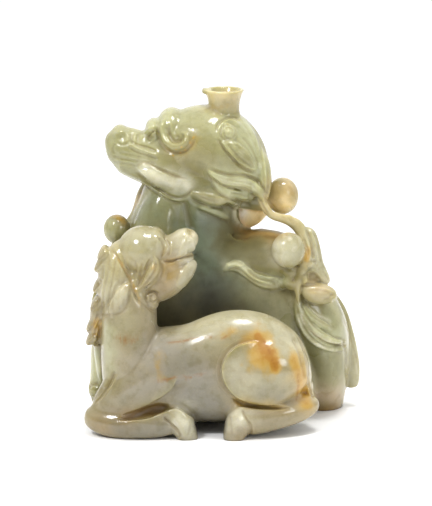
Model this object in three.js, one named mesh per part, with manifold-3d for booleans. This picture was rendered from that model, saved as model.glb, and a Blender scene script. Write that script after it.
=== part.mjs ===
// A carved jade group: a large qilin lying with its head raised, a cub in front of it looking back
// up at it, and a fruiting spray that winds round the large one. It is one block of stone, so it is
// one solid. Millimetres, +Z up. The beasts lie along X and are seen from -Y.
import * as THREE from "three";
import { mergeVertices } from "three/addons/utils/BufferGeometryUtils.js";
import Module from "manifold-3d";

const wasm = await Module();
wasm.setup();

// Driving dimensions. The form is laid out in hundredths of the figure's height.
const figureHeight = 100;
const unit = figureHeight / 100;

// The upright planes that the two heads are drawn about
const headMiddle = 4;
const cubMiddle = -14;

// How finely the round forms are faceted
const facetCount = 0.77;
const weldGap = 1e-4;

// The side of the stone that a feature is carved on: the front faces -Y.
const front = -1;
const back = 1;

// Joins and cuts

function solidOf(geometry) {
  const bare = geometry.clone();
  bare.deleteAttribute("normal");
  bare.deleteAttribute("uv");
  const merged = mergeVertices(bare, weldGap);
  return new wasm.Manifold(
    new wasm.Mesh({
      numProp: 3,
      vertProperties: merged.attributes.position.array,
      triVerts: new Uint32Array(merged.index.array),
    }),
  );
}

function geometryOf(solid) {
  const mesh = solid.getMesh();
  const geometry = new THREE.BufferGeometry();
  geometry.setAttribute("position", new THREE.BufferAttribute(mesh.vertProperties, 3));
  geometry.setIndex(new THREE.BufferAttribute(mesh.triVerts, 1));
  return geometry;
}

const join = (...solids) => solids.flat(Infinity).reduce((all, one) => all.add(one));
const cut = (solid, ...tools) => tools.flat(Infinity).reduce((left, tool) => left.subtract(tool), solid);

// Forms

// Broad forms get more sides and longer steps than slender ones.
const sidesFor = (half) => 2 * Math.round((2 + 1.6 * Math.sqrt(half)) * facetCount);
const ringsFor = (half, length) => Math.round((3 + length / (1.2 + 1.2 * Math.sqrt(half))) * facetCount);

// Facets are set half outside the round they stand for, so that the girth is neither lost nor gained.
const girthFor = (sides) => (1 + 1 / Math.cos(Math.PI / sides)) / 2;

// A round-ended solid along the smooth line through its stations.
// A station is [x, y, z, thickness, breadth]: half sizes along the `flat` direction and square to it.
// `power` 2 gives ends like an egg's, and more gives fuller ones. `boxy` does the same for the section.
function loft(stations, options = {}) {
  const { power = 2.4, boxy = 2, flat = [0, 1, 0], normals = null } = options;
  const curve = (points) => new THREE.CatmullRomCurve3(points.map((p) => new THREE.Vector3(...p)));
  const line = curve(stations.map(([x, y, z]) => [x, y, z]));
  const sizes = curve(stations.map(([, , , thickness, breadth]) => [thickness, breadth, 0]));
  sizes.curveType = "catmullrom";
  const facing = normals && curve(normals);
  const half = Math.max(...stations.map(([, , , thickness, breadth]) => (thickness + breadth) / 2));
  const sides = sidesFor(half);
  const girth = girthFor(sides);
  const geometry = new THREE.SphereGeometry(1, sides, ringsFor(half, line.getLength()));
  const place = geometry.attributes.position;
  const dot = new THREE.Vector3();
  const bulge = (wave) => Math.sign(wave) * Math.pow(Math.abs(wave), 2 / boxy);
  for (let i = 0; i < place.count; i++) {
    dot.fromBufferAttribute(place, i);
    const t = (1 - dot.y) / 2;
    const atPole = Math.hypot(dot.x, dot.z) < weldGap;
    const swell = atPole ? 0 : Math.pow(Math.max(0, 1 - Math.pow(Math.abs(dot.y), power)), 1 / power);
    const around = Math.atan2(dot.z, dot.x);
    const middle = line.getPoint(t);
    const along = line.getTangent(t);
    const size = sizes.getPoint(t);
    const thick = (facing ? facing.getPoint(t) : new THREE.Vector3(...flat)).normalize();
    thick.addScaledVector(along, -thick.dot(along)).normalize();
    const broad = new THREE.Vector3().crossVectors(along, thick);
    middle.addScaledVector(thick, bulge(Math.cos(around)) * size.x * swell * girth);
    middle.addScaledVector(broad, bulge(Math.sin(around)) * size.y * swell * girth);
    place.setXYZ(i, middle.x, middle.y, middle.z);
  }
  return solidOf(geometry.scale(unit, unit, unit));
}

function ball([x, y, z], [rx, ry, rz]) {
  const sides = sidesFor((rx + ry + rz) / 3);
  const geometry = new THREE.SphereGeometry(girthFor(sides), sides, sides / 2 + 1);
  geometry.rotateX(Math.PI / 2).scale(rx, ry, rz).translate(x, y, z);
  return solidOf(geometry.scale(unit, unit, unit));
}

// What a feature is seated on: rays find where the stone's surface lies.
function skinOf(solid) {
  const skin = new THREE.Mesh(geometryOf(solid), new THREE.MeshBasicMaterial({ side: THREE.DoubleSide }));
  skin.updateMatrixWorld(true);
  return skin;
}

const ray = new THREE.Raycaster();
const rayStart = 200;

function seat(skin, side, x, z) {
  ray.set(new THREE.Vector3(x, side * rayStart, z).multiplyScalar(unit), new THREE.Vector3(0, -side, 0));
  const hit = ray.intersectObject(skin)[0];
  if (!hit) return null;
  const normal = hit.face.normal.clone();
  if (normal.y * side < 0) normal.negate();
  return { y: hit.point.y / unit, normal: normal.add(new THREE.Vector3(0, side, 0)).normalize() };
}

// A raised or sunk feature that lies on a skin. A station is [x, z, proud, breadth, lift].
// A station that runs off the skin takes the seat of its nearest neighbour.
function onSkin(skin, side, stations) {
  const found = stations.map(([x, z]) => seat(skin, side, x, z));
  const held = found.map((s, i) => i).filter((i) => found[i]);
  const nearest = (i) => held.reduce((a, b) => (Math.abs(b - i) < Math.abs(a - i) ? b : a));
  const seats = found.map((s, i) => s ?? found[nearest(i)]);
  const laid = stations.map(([x, z, proud, breadth, lift = 0], i) => {
    return [x, seats[i].y + side * lift, z, proud, breadth];
  });
  return loft(laid, { power: 2.2, normals: seats.map((s) => s.normal.toArray()) });
}

// The large qilin's body: a broad mass that narrows up into the neck, a haunch at each side, and the limbs

const trunk = [
  [-3.4, 9, -9, 15, 32],
  [-3.8, 9, 5, 18, 35.4],
  [-4.2, 9, 19, 18.4, 35.6],
  [-5.2, 9, 31, 18, 33.6],
  [-6.8, 8.5, 42.5, 17, 28.4],
  [-10, 7.5, 53, 14.6, 21],
  [-9.8, 6.5, 63, 12, 16],
  [-7, 4.5, 74, 12, 14],
  [-5, 4, 84, 9, 9],
];
const throat = [
  [-15.5, 1, 73, 6, 5],
  [-18, 0, 63, 7, 7],
  [-20, -1, 50, 8.2, 8.6],
  [-22, -1, 35, 7, 8],
];
const backHump = [
  [-9, 8, 49, 7, 6],
  [0, 5, 50, 10, 6.4],
  [9, 3, 50.4, 11, 6.9],
  [17, 3, 49.4, 11, 7],
  [24, 4, 45.4, 9, 6.4],
  [29, 6, 38, 7, 5],
];
const haunchColumn = [
  [16, 6, 46, 9, 7],
  [22.6, 6, 37, 11, 9],
  [28, 8, 27, 13, 8.6],
  [30.2, 11, 16, 12, 7.4],
  [30.6, 14, 3, 9, 6.9],
  [30.6, 14, -8, 9, 6.8],
];
const foreleg = [
  [-29, 4, 38, 7, 6],
  [-33.6, 1, 25, 7, 5.6],
  [-36, -2, 14, 6, 3.9],
  [-35.6, -3.4, 3, 6.4, 5],
];
const pawPlace = [-37.4, -4, 9.8];
const pawSize = [3, 5, 3.6];
const tailBlade = [
  [29, 18, 37, 3.4, 3],
  [34.2, 16, 30, 3, 2.4],
  [37.7, 15, 22, 2.6, 1.8],
  [39.4, 14.4, 14, 2.2, 1.7],
  [40.2, 14, 6, 2, 1.9],
];
const tailRoot = [
  [6, 24, 44, 1.4, 1.6],
  [13, 25.4, 38, 2.4, 2.8],
  [23, 24, 36.6, 3, 3.4],
  [31, 19, 35, 3, 3],
];
const backHaunch = [
  [5.4, 18, 16, 5, 7],
  [13, 18, 17.4, 9.4, 12],
  [21, 16.6, 17, 10, 12.6],
  [29.4, 14, 13, 7, 8],
];
const backFoot = [
  [31, 19, 4, 4, 4],
  [22, 23.6, 3.8, 3.8, 4],
  [11, 25.4, 3, 3, 3.4],
];
const backForeleg = [
  [-15, 18, 35, 7, 6],
  [-22, 18.6, 27, 8, 9],
  [-30.6, 16, 14, 7, 8],
  [-34, 14, 5, 5, 5],
];
const backPaw = [
  [-36, 15, 4, 4, 4.4],
  [-28, 21, 3.4, 3.6, 3.8],
  [-18.4, 23.4, 2.6, 2.8, 3.2],
];

function largeBody() {
  return join(
    loft(trunk, { power: 5, boxy: 2.3 }),
    loft(throat),
    loft(backHump),
    loft(haunchColumn, { power: 3 }),
    loft(tailBlade, { power: 3 }),
    loft(tailRoot),
    loft(backHaunch),
    loft(backFoot, { power: 3 }),
    loft(backForeleg),
    loft(backPaw, { power: 3 }),
    loft(foreleg, { power: 3 }),
    ball(pawPlace, pawSize),
  );
}

// The large qilin's head, in profile about its upright plane

const crown = [-2.4, headMiddle, 82, 12.8, 12.8];
const skull = [
  [-21, headMiddle, 83, 7.5, 6.5],
  [-13, headMiddle, 83.6, 11, 10.6],
  crown,
  [5.2, headMiddle, 76.6, 12.4, 10.2],
  [8, headMiddle, 66, 10.4, 5.8],
];
const muzzle = [
  [-34.6, headMiddle, 80.8, 5, 5],
  [-30.4, headMiddle, 81.8, 6.8, 6.8],
  [-24, headMiddle, 79.6, 7.8, 7.6],
  [-14, headMiddle, 77.5, 10, 10],
  [0, headMiddle, 77, 12, 11],
];
const noseAndBrow = [
  [[-30.4, headMiddle, 86.2], [2.8, 5.4, 3]],
  [[-20.4, headMiddle, 87.8], [2.6, 6.4, 3.4]],
  [[-15, headMiddle, 89], [4.4, 8, 5.4]],
];
const napeHair = [
  [11.6, 1, 83, 3.4, 1.4],
  [12.4, -0.5, 77, 4.4, 2.2],
  [12.4, -1.5, 71, 4.4, 2.4],
  [11.8, -2.6, 66.4, 3, 2],
];
const jowl = [
  [-18, headMiddle, 73.5, 8, 3],
  [-9, headMiddle, 71.5, 11, 4],
  [0, headMiddle, 69, 12, 5],
  [6, headMiddle, 66.5, 10.4, 4],
];

function largeHead() {
  return join(
    loft(skull, { power: 2.6 }),
    loft(muzzle, { power: 3.6 }),
    loft(napeHair),
    loft(jowl),
    noseAndBrow.map(([place, size]) => ball(place, size)),
  );
}

// What is carved on both sides of the large head

const browCurl = [
  [-19, 91, 1.4, 1.2],
  [-17.4, 87.6, 1.7, 1.4],
  [-13.6, 84.2, 1.8, 1.5],
  [-9.8, 85.8, 1.7, 1.4],
  [-10.8, 88.6, 1.2, 1.1],
];
const earCurl = [
  [-1.4, 89.6, 1.2, 1.4],
  [1.8, 92.4, 1.6, 1.6],
  [4.6, 89.6, 1.6, 1.6],
  [2, 87, 1.2, 1.3],
];
const earLeaf = [
  [0.4, 88, 1, 1.2],
  [4.2, 84, 1.8, 2.6],
  [7.6, 79.6, 1.8, 2.2],
  [10.6, 76.4, 0.9, 0.8],
];
const jawPlate = [
  [-25.4, 77, 1, 1],
  [-21.4, 74.6, 1.8, 2],
  [-16, 72.2, 2.2, 2.6],
  [-10.4, 71.2, 1.6, 2.6],
];
const eyeHollow = [
  [-22, 87.8, 1, 0.9],
  [-20.4, 86.4, 1.8, 1.7],
  [-19.6, 84.8, 1, 0.9],
];
const mouthLine = [
  [-29, 79.6, 0.7, 0.4],
  [-24, 78.8, 0.9, 0.5],
  [-17, 76, 0.9, 0.5],
  [-9.4, 74.2, 0.7, 0.4],
];

const raised = [browCurl, earCurl, earLeaf, jawPlate];
const sunk = [eyeHollow, mouthLine];
const headRelief = (skin, side) => raised.map((line) => onSkin(skin, side, line));
const headHollows = (skin, side) => sunk.map((line) => onSkin(skin, side, line));

// The horn: a short flared tube with a hollow mouth, set a little into the crown of the head

const hornPlace = [0.6, 3];
const hornSink = 2.8;
const hornFoot = crown[2] + crown[4] - hornSink;
const hornRise = 8;
const hornFlare = 6.3;
const hornWall = 1.3;
const hornDepth = 3.4;
const hornSides = 16;
const hornOutside = [
  [0, 0],
  [4.9, 0],
  [4.3, 0.3 * hornRise],
  [4.4, 0.58 * hornRise],
  [5.6, 0.85 * hornRise],
  [hornFlare, hornRise],
  [0, hornRise],
];
const hornHollow = [
  [0, hornRise - hornDepth],
  [3.4, hornRise - 0.9 * hornDepth],
  [hornFlare - hornWall, hornRise],
  [hornFlare - hornWall, hornRise + 1],
  [0, hornRise + 1],
];

function turned(outline, [x, y], foot) {
  const geometry = new THREE.LatheGeometry(outline.map(([r, h]) => new THREE.Vector2(r, h)), hornSides);
  return solidOf(geometry.rotateX(Math.PI / 2).translate(x, y, foot).scale(unit, unit, unit));
}

// The cub in front

const cubTrunk = [
  [-32, -13, 15, 8, 12],
  [-22, -15, 17, 11, 14.6],
  [-9, -15.5, 17.6, 10.6, 15],
  [4, -15, 19.6, 11.4, 17],
  [14, -13.5, 19, 11.4, 15.6],
  [25.6, -11.5, 12, 8.6, 9],
];
const cubNeck = [
  [-28, -15, 5, 10, 8.4],
  [-27.6, -15.6, 22, 10.4, 8.4],
  [-27.4, -15, 37, 8.6, 8.2],
  [-25.4, -14, 51, 6.6, 7],
];
const cubUpperArm = [
  [-16, -18, 28, 5, 5],
  [-21.5, -18.6, 20, 8, 8],
  [-29, -19, 12.5, 7.8, 7.8],
  [-38, -18.5, 6, 6.6, 5],
];
const cubForearm = [
  [-40.6, -18.5, 5.6, 5, 5],
  [-31, -21.5, 4, 5.6, 4.8],
  [-21, -23.4, 4, 4.4, 4.2],
  [-12, -23.6, 4, 3.2, 3.6],
];
const cubFrontHoof = [
  [-17.4, -23, 8.4, 2.8, 2.8],
  [-13, -23.6, 6.4, 3.6, 3.6],
  [-8.2, -23.8, 0.4, 3.2, 3.8],
];
const cubHaunchPlace = [12.4, -17, 19.2];
const cubHaunchSize = [13.4, 10.8, 12];
const cubShank = [
  [1.6, -24, 5, 3.4, 4.6],
  [10, -23.4, 5.6, 4.2, 4.6],
  [20, -20, 7, 4.6, 4.2],
  [28.4, -14.4, 8.4, 4, 4],
];
const cubRearHoof = [
  [7.4, -23.4, 8.6, 2.8, 2.6],
  [3.6, -24.2, 5.6, 3.6, 3.8],
  [1.6, -24.4, -1, 3.4, 3.8],
];
const cubTail = [
  [19.6, -10, 29.6, 1.6, 1.5],
  [23.8, -11, 23.4, 1.6, 1.6],
  [26.2, -12, 16, 1.5, 1.5],
  [28, -13, 10.6, 1.3, 1.5],
  [29.8, -13.4, 8.2, 0.8, 0.9],
];

// The cub's head, thrown back, in profile about its own upright plane

const cubUpperMuzzle = [
  [-22, cubMiddle, 53, 6, 6],
  [-15.4, cubMiddle, 55.6, 5.4, 3.8],
  [-11, cubMiddle, 57.8, 4.6, 4],
  [-7.2, cubMiddle, 56.6, 3, 3],
];
const cubJaw = [
  [-22, cubMiddle, 40.6, 5.4, 5.4],
  [-16.6, cubMiddle, 45.6, 5.8, 5.4],
  [-11.6, cubMiddle, 49, 4.8, 4],
  [-8, cubMiddle, 51.2, 3, 2.2],
];
const cubSkullBrowAndCheeks = [
  [[-23.4, cubMiddle, 54.6], [7.6, 7.6, 7.4]],
  [[-19.6, cubMiddle, 57.4], [3.4, 6.4, 4.4]],
  [[-20, cubMiddle, 48.4], [6.4, 6.6, 8.4]],
  [[-15.4, cubMiddle, 50.6], [5, 5.2, 5]],
  [[-20, cubMiddle - 3.6, 38.8], [2.8, 4, 3.2]],
];
const cubMane = [
  [-28, -14, 58, 4.4, 4],
  [-31.8, -14, 51, 6.4, 5.6],
  [-32.8, -14.4, 43, 7, 5.8],
  [-33.8, -14.4, 35, 5, 4.8],
];
const cubFrontLock = [
  [-25.6, -20.4, 47.4, 2, 1.6],
  [-29.4, -22, 43.4, 2.2, 2.8],
  [-32, -21.8, 37.4, 2, 2.8],
  [-33, -21.4, 34.4, 1.4, 2],
];
const cubEar = [
  [-20.6, 53.6, 1, 1.2],
  [-21.2, 49.6, 1.6, 1.9],
  [-23.6, 45.6, 1.6, 1.8],
  [-26.4, 41.8, 1, 0.8],
];
const cubUpperLip = [
  [-9.4, 60, 1, 1.2],
  [-9.8, 57, 1.4, 2.2],
  [-13.2, 53.8, 0.9, 1],
];
const cubLowerLip = [
  [-8.8, 51.8, 1, 1],
  [-10.2, 48.4, 1.4, 2],
  [-13, 44.6, 0.9, 1.4],
];

function cubBody() {
  return join(
    loft(cubTrunk, { power: 2.8 }),
    loft(cubNeck, { power: 3 }),
    loft(cubUpperArm, { power: 2.6 }),
    loft(cubForearm, { power: 3 }),
    loft(cubFrontHoof, { power: 3.4 }),
    ball(cubHaunchPlace, cubHaunchSize),
    loft(cubShank, { power: 3 }),
    loft(cubRearHoof, { power: 3.4 }),
    loft(cubTail),
  );
}

function cubHead() {
  return join(
    loft(cubUpperMuzzle, { power: 2.6 }),
    loft(cubJaw, { power: 2.6 }),
    cubSkullBrowAndCheeks.map(([place, size]) => ball(place, size)),
  );
}

// The spray: stems, leaves and round fruit

const stems = [
  [
    [10, -3, 70, 1.8, 2.2],
    [15.9, -3, 64.4, 1.5, 1.7],
    [20.6, -2, 62.4, 1.5, 1.5],
    [24.2, -3, 58.4, 1.5, 1.5],
    [25.4, -4, 53, 1.5, 1.4],
    [24.4, -5.6, 48.6, 1.5, 1.5],
    [22.8, -7, 43.6, 1.8, 2],
  ],
  [
    [2, 8, 67.4, 5, 5],
    [10, 7, 66.2, 4.6, 3.8],
    [20, 4, 66.4, 4, 3],
  ],
  [
    [-21.6, 12, 72, 1.6, 1.6],
    [-23.4, 12, 66.6, 2, 2.4],
    [-26, 9, 60.6, 1.8, 1.8],
    [-29.4, 5, 55.6, 2, 2.2],
    [-32.6, 4, 49.4, 2, 2],
    [-35.2, 4, 42, 1.8, 2.2],
    [-37.6, 2, 33, 2.2, 2.4],
    [-38.4, 1, 24, 1.6, 1.8],
  ],
];
const fruits = [
  [[18.2, 4.4, 67.4], [4.8, 4.8, 5.6]],
  [[20.1, -8, 53.4], [4.5, 4.5, 5.3]],
  [[-31.6, 2.4, 57.6], [4, 4.4, 4.5]],
];
const maneLeaf = [
  [-3.8, 76.6, 0.8, 0.8],
  [1, 74.6, 1.8, 2],
  [7, 73, 2, 2.6],
  [12, 69, 1.8, 2],
];
const lowerManeLocks = [
  [[-2.6, 72.4, 0.8, 0.8], [2, 70, 1.8, 1.7], [7.4, 69.2, 1.8, 1.8], [12, 68, 1.4, 1.4]],
  [[-8, 70.8, 0.8, 0.8], [-3, 69.2, 1.5, 1.6], [2, 67.6, 0.9, 0.9]],
  [[-6.6, 66, 0.8, 0.8], [-2, 64.6, 1.5, 1.4], [2.4, 62, 0.9, 0.9]],
];
const flankLeaf = [
  [0.3, 47, 0.8, 0.8, 0.4],
  [3.4, 48.4, 1.6, 1.9, 0.6],
  [6.8, 46.4, 1.6, 2, 0.6],
  [10.4, 43.8, 1.6, 1.9, 0.6],
  [15, 42.6, 1.6, 1.7, 0.8],
  [20.6, 43, 1.6, 1.4, 1],
];
const outerHangingLeaf = [
  [22.8, 43.6, 1.6, 1.3, 1],
  [22.6, 36, 1.8, 1.7, 0.8],
  [26.6, 29, 1.8, 2.1, 0.8],
  [32, 25.4, 1.6, 2, 0.8],
  [37, 26.4, 0.9, 1, 0.6],
];
const innerHangingLeaf = [
  [24, 43, 1.4, 1.1, 1],
  [25.2, 36.4, 1.5, 1.3, 0.8],
  [29, 31.8, 1.4, 1.4, 0.8],
  [33.2, 30.2, 0.9, 1, 0.6],
];
const edgeLeaves = [
  [
    [23, 0, 63.4, 1.6, 1.4],
    [26.2, 2, 58.6, 2.4, 2],
    [28, 3, 51, 2.4, 2.2],
    [31, 3, 44, 2, 2],
  ],
  [
    [25, 0, 46, 2, 2.4],
    [29.4, 0, 44.4, 2, 2.4],
    [33, 0, 41, 1.6, 1.8],
  ],
];
const bud = [
  [23, -5, 44.4, 2.2, 2.2],
  [26.4, -5, 41.4, 2.4, 2.6],
  [30.4, -3.4, 39.4, 2.6, 2.8],
  [34.4, -2, 37.4, 1.4, 1.6],
];

function spray(skin) {
  const seated = [maneLeaf, ...lowerManeLocks, flankLeaf, outerHangingLeaf, innerHangingLeaf];
  return join(
    stems.map((stem) => loft(stem, { power: 4 })),
    fruits.map(([place, size]) => ball(place, size)),
    seated.map((leaf) => onSkin(skin, front, leaf)),
    onSkin(skin, back, maneLeaf),
    edgeLeaves.map((leaf) => loft(leaf)),
    loft(bud),
  );
}

// Everything is joined, the hollows are cut, and the underside is ground flat.
const floorSize = 4 * figureHeight;
const floor = solidOf(new THREE.BoxGeometry(floorSize, floorSize, floorSize).translate(0, 0, -floorSize / 2));
const horn = turned(hornOutside, hornPlace, hornFoot);
const hornMouth = turned(hornHollow, hornPlace, hornFoot);
const head = largeHead();
const body = largeBody();
const headSkin = skinOf(head);
const largeSkin = skinOf(join(body, head));
const cubBare = join(cubBody(), cubHead());
const cubSkin = skinOf(cubBare);
const cubRelief = [cubEar, cubUpperLip, cubLowerLip].map((line) => onSkin(cubSkin, front, line));
const relief = [headRelief(headSkin, front), headRelief(headSkin, back), cubRelief];
const hollows = [headHollows(headSkin, front), headHollows(headSkin, back)];
const cub = join(cubBare, loft(cubMane), loft(cubFrontLock));
const figure = cut(join(body, head, horn, cub, relief, spray(largeSkin)), hollows, hornMouth, floor);

// The origin is under the middle of the figure.
const form = geometryOf(figure);
form.computeBoundingBox();
const middle = form.boundingBox.getCenter(new THREE.Vector3());
form.translate(-middle.x, -middle.y, 0);

const jade = new THREE.MeshStandardMaterial({ color: 0xb9bf98, roughness: 0.22, metalness: 0 });
jade.flatShading = true;
const carving = new THREE.Mesh(form, jade);
carving.name = "jade_carving";

const group = new THREE.Group();
group.add(carving);
export default group;
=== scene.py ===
# %% [markdown]
# This lesson carves a jade group in Blender: a large qilin that lies with its head raised, a cub in
# front of it, and a fruiting spray that winds round the large one. The real object is one block of
# stone, ground and polished by hand, so the scene makes one piece. The first cell opens the model of
# the block, which gives the size and the place that the carving has to keep.

# %% Open the frame
import math

import bpy
import numpy as np
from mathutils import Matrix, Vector
from mathutils.bvhtree import BVHTree


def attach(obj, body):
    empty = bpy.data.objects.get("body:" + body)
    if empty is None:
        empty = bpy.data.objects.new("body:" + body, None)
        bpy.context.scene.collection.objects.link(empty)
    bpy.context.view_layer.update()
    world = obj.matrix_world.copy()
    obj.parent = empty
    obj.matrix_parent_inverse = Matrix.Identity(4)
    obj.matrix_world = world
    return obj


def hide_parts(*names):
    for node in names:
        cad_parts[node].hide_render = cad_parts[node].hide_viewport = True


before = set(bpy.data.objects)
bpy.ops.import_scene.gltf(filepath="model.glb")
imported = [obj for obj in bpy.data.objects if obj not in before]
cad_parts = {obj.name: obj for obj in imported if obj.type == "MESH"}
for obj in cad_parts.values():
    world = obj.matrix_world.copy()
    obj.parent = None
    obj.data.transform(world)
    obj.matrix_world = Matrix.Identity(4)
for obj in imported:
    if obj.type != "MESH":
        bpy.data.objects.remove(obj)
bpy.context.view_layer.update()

# %% [markdown]
# The carving is shaped in millimetres, because grinding depths of half a millimetre read best that
# way, and is brought to metres at the end. The camera comes first: most of the relief is drawn as the
# photographer sees it, so every later step needs to know where the camera stands. It looks down by
# twelve degrees, and one pixel of the picture is 0.3 mm on the stone.

# %% Place the camera
MM = 0.001
PICTURE = (432, 506)
PIXEL = 0.3
ELEVATION = math.radians(12)
REACH = 900.0
FOOT = np.array([0.0, -28.0, 0.0])
FOOT_PIXEL = np.array([222.0, 438.0])
MIDDLE_PIXEL = np.array(PICTURE) / 2
LAYOUT_MIDDLE = np.array([0.3975, -0.0192, 0.0])

look = np.array([0.0, math.cos(ELEVATION), -math.sin(ELEVATION)])
right = np.array([1.0, 0.0, 0.0])
up = np.array([0.0, math.sin(ELEVATION), math.cos(ELEVATION)])
across, rise = (MIDDLE_PIXEL - FOOT_PIXEL) * (PIXEL, -PIXEL)
aim = FOOT + right * across + up * rise
aim = aim - look * aim[1] / look[1]
eye = aim - look * REACH

SENSOR = 36.0
bpy.ops.object.camera_add(location=(eye - LAYOUT_MIDDLE) * MM)
camera = bpy.context.object
camera.name = "Camera"
camera.rotation_euler = Vector(look).to_track_quat("-Z", "Y").to_euler()
camera.data.sensor_width = SENSOR
camera.data.lens = SENSOR * REACH / (PICTURE[1] * PIXEL)
bpy.context.scene.camera = camera
print("camera", [round(v, 4) for v in camera.location], "lens", round(camera.data.lens, 1))


def to_pixels(places):
    """Where places of the stone show in the picture, and how far they are from the eye."""
    away = np.asarray(places, float) - eye
    depth = away @ look
    scale = REACH / depth / PIXEL
    return np.column_stack([
        MIDDLE_PIXEL[0] + (away @ right) * scale,
        MIDDLE_PIXEL[1] - (away @ up) * scale,
    ]), depth


def sight(pixel):
    """The direction from the eye through a pixel of the picture."""
    x, y = (np.array(pixel) - MIDDLE_PIXEL) * PIXEL
    return Vector(look * REACH + right * x - up * y).normalized()


def at(pixel, y):
    """Where the line of sight through a pixel meets the upright plane at y."""
    line = np.array(sight(pixel))
    return eye + line * ((y - eye[1]) / line[1])


# %% [markdown]
# A carver thinks of a limb as a line with a thickness. The same idea makes nearly every form here: a
# UV sphere is added, and its points are set out along a smooth line, with a half thickness and a half
# breadth at each station. Curves with a bevel could do this too, but their section stays round, and
# limbs, locks and leaves are flatter than that.

# %% Smooth lines and lofted forms
def along_line(points, shares, even=False):
    """Places on the smooth line through points, at shares 0 to 1 of its stations."""
    points = np.array(points, float)
    last = len(points) - 1
    spot = np.clip(np.asarray(shares, float), 0, 1) * last
    first = np.minimum(spot.astype(int), last - 1)
    part = (spot - first)[:, None]
    longer = np.vstack([2 * points[0] - points[1], points, 2 * points[-1] - points[-2]])
    a, b, c, d = (longer[first + k] for k in range(4))
    if even:
        leave, reach = (c - a) / 2, (d - b) / 2
    else:
        gap_a, gap_b, gap_c = (
            np.sqrt(np.maximum(np.linalg.norm(q - p, axis=1), 1e-4))[:, None]
            for p, q in ((a, b), (b, c), (c, d))
        )
        leave = ((b - a) / gap_a - (c - a) / (gap_a + gap_b) + (c - b) / gap_b) * gap_b
        reach = ((c - b) / gap_b - (d - b) / (gap_b + gap_c) + (d - c) / gap_c) * gap_b
    bend = 3 * (c - b) - 2 * leave - reach
    turn = 2 * (b - c) + leave + reach
    return b + part * (leave + part * (bend + part * turn))


def unit(rows):
    return rows / np.maximum(np.linalg.norm(rows, axis=1), 1e-9)[:, None]


def points_of(piece):
    flat = np.empty(len(piece.data.vertices) * 3, np.float32)
    piece.data.vertices.foreach_get("co", flat)
    return flat.reshape(-1, 3).astype(float)


def move_points(piece, places):
    piece.data.vertices.foreach_set("co", np.asarray(places, np.float32).ravel())
    piece.data.update()


FACET = 0.8


def loft(name, stations, power=2.4, boxy=2.0, flat=(0, 1, 0), facing=None):
    """A round-ended form. A station is x, y, z, half thickness along `flat`, half breadth."""
    stations = np.array(stations, float)
    length = np.linalg.norm(np.diff(stations[:, :3], axis=0), axis=1).sum()
    girth = math.tau * stations[:, 3:5].mean(axis=1).max()
    bpy.ops.mesh.primitive_uv_sphere_add(
        segments=int(np.clip(girth / FACET, 16, 100)), ring_count=int(np.clip(length / FACET, 20, 140))
    )
    piece = bpy.context.object
    piece.name = name
    dots = points_of(piece)
    share = (1 + dots[:, 2]) / 2
    swell = np.maximum(0, 1 - np.abs(dots[:, 2]) ** power) ** (1 / power)
    around = np.arctan2(dots[:, 1], dots[:, 0])
    middle = along_line(stations[:, :3], share)
    step = 1e-4
    along = unit(along_line(stations[:, :3], share + step) - along_line(stations[:, :3], share - step))
    size = along_line(stations[:, 3:5], share, even=True)
    thick = np.tile(np.array(flat, float), (len(dots), 1)) if facing is None else along_line(facing, share)
    thick = unit(thick)
    thick = unit(thick - along * (thick * along).sum(axis=1)[:, None])
    broad = np.cross(along, thick)
    bulge = [np.sign(w) * np.abs(w) ** (2 / boxy) for w in (np.cos(around), np.sin(around))]
    move_points(
        piece,
        middle
        + thick * (bulge[0] * size[:, 0] * swell)[:, None]
        + broad * (bulge[1] * size[:, 1] * swell)[:, None],
    )
    return piece


def ball(name, place, size):
    bpy.ops.mesh.primitive_uv_sphere_add(segments=56, ring_count=40)
    piece = bpy.context.object
    piece.name = name
    move_points(piece, points_of(piece) * size + place)
    return piece


# %% [markdown]
# Forms that grow out of each other are joined and given one skin by a voxel remesh, and the seams
# between them are rubbed down by smoothing. That is how clay or wax is worked, and it leaves the soft
# hollows between limbs that a wheel leaves in jade. Broad masses are rubbed more than small ones.

# %% Join forms into one skin
def pick(pieces):
    bpy.ops.object.select_all(action="DESELECT")
    for piece in pieces:
        piece.select_set(True)
    bpy.context.view_layer.objects.active = pieces[0]


def use(piece, name, kind, **settings):
    """Adds a modifier and applies it."""
    pick([piece])
    modifier = piece.modifiers.new(name, kind)
    for key, value in settings.items():
        setattr(modifier, key, value)
    bpy.ops.object.modifier_apply(modifier=modifier.name)


def fuse(name, pieces, grain, rounds):
    pick(pieces)
    bpy.ops.object.join()
    whole = bpy.context.object
    whole.name = name
    use(whole, "One skin", "REMESH", mode="VOXEL", voxel_size=grain)
    use(whole, "Rub down", "SMOOTH", iterations=rounds, factor=0.5)
    print(name, len(whole.data.polygons), "faces")
    return whole


def skin_of(pieces):
    """A tree that rays can be shot at."""
    places, faces = [], []
    for piece in pieces:
        start = len(places)
        places += [v.co.copy() for v in piece.data.vertices]
        faces += [[start + i for i in p.vertices] for p in piece.data.polygons]
    return BVHTree.FromPolygons(places, faces)


# %% [markdown]
# The large beast's body is a broad mass that narrows up into the neck, with a haunch at each side and
# its limbs folded close, so that nothing thin stands free of the block. It is built from a few
# stations for each limb and then rubbed down as one. Behind the gap its back is pressed down a
# little, as the Grab brush would do, so that light comes through under the stem.

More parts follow.
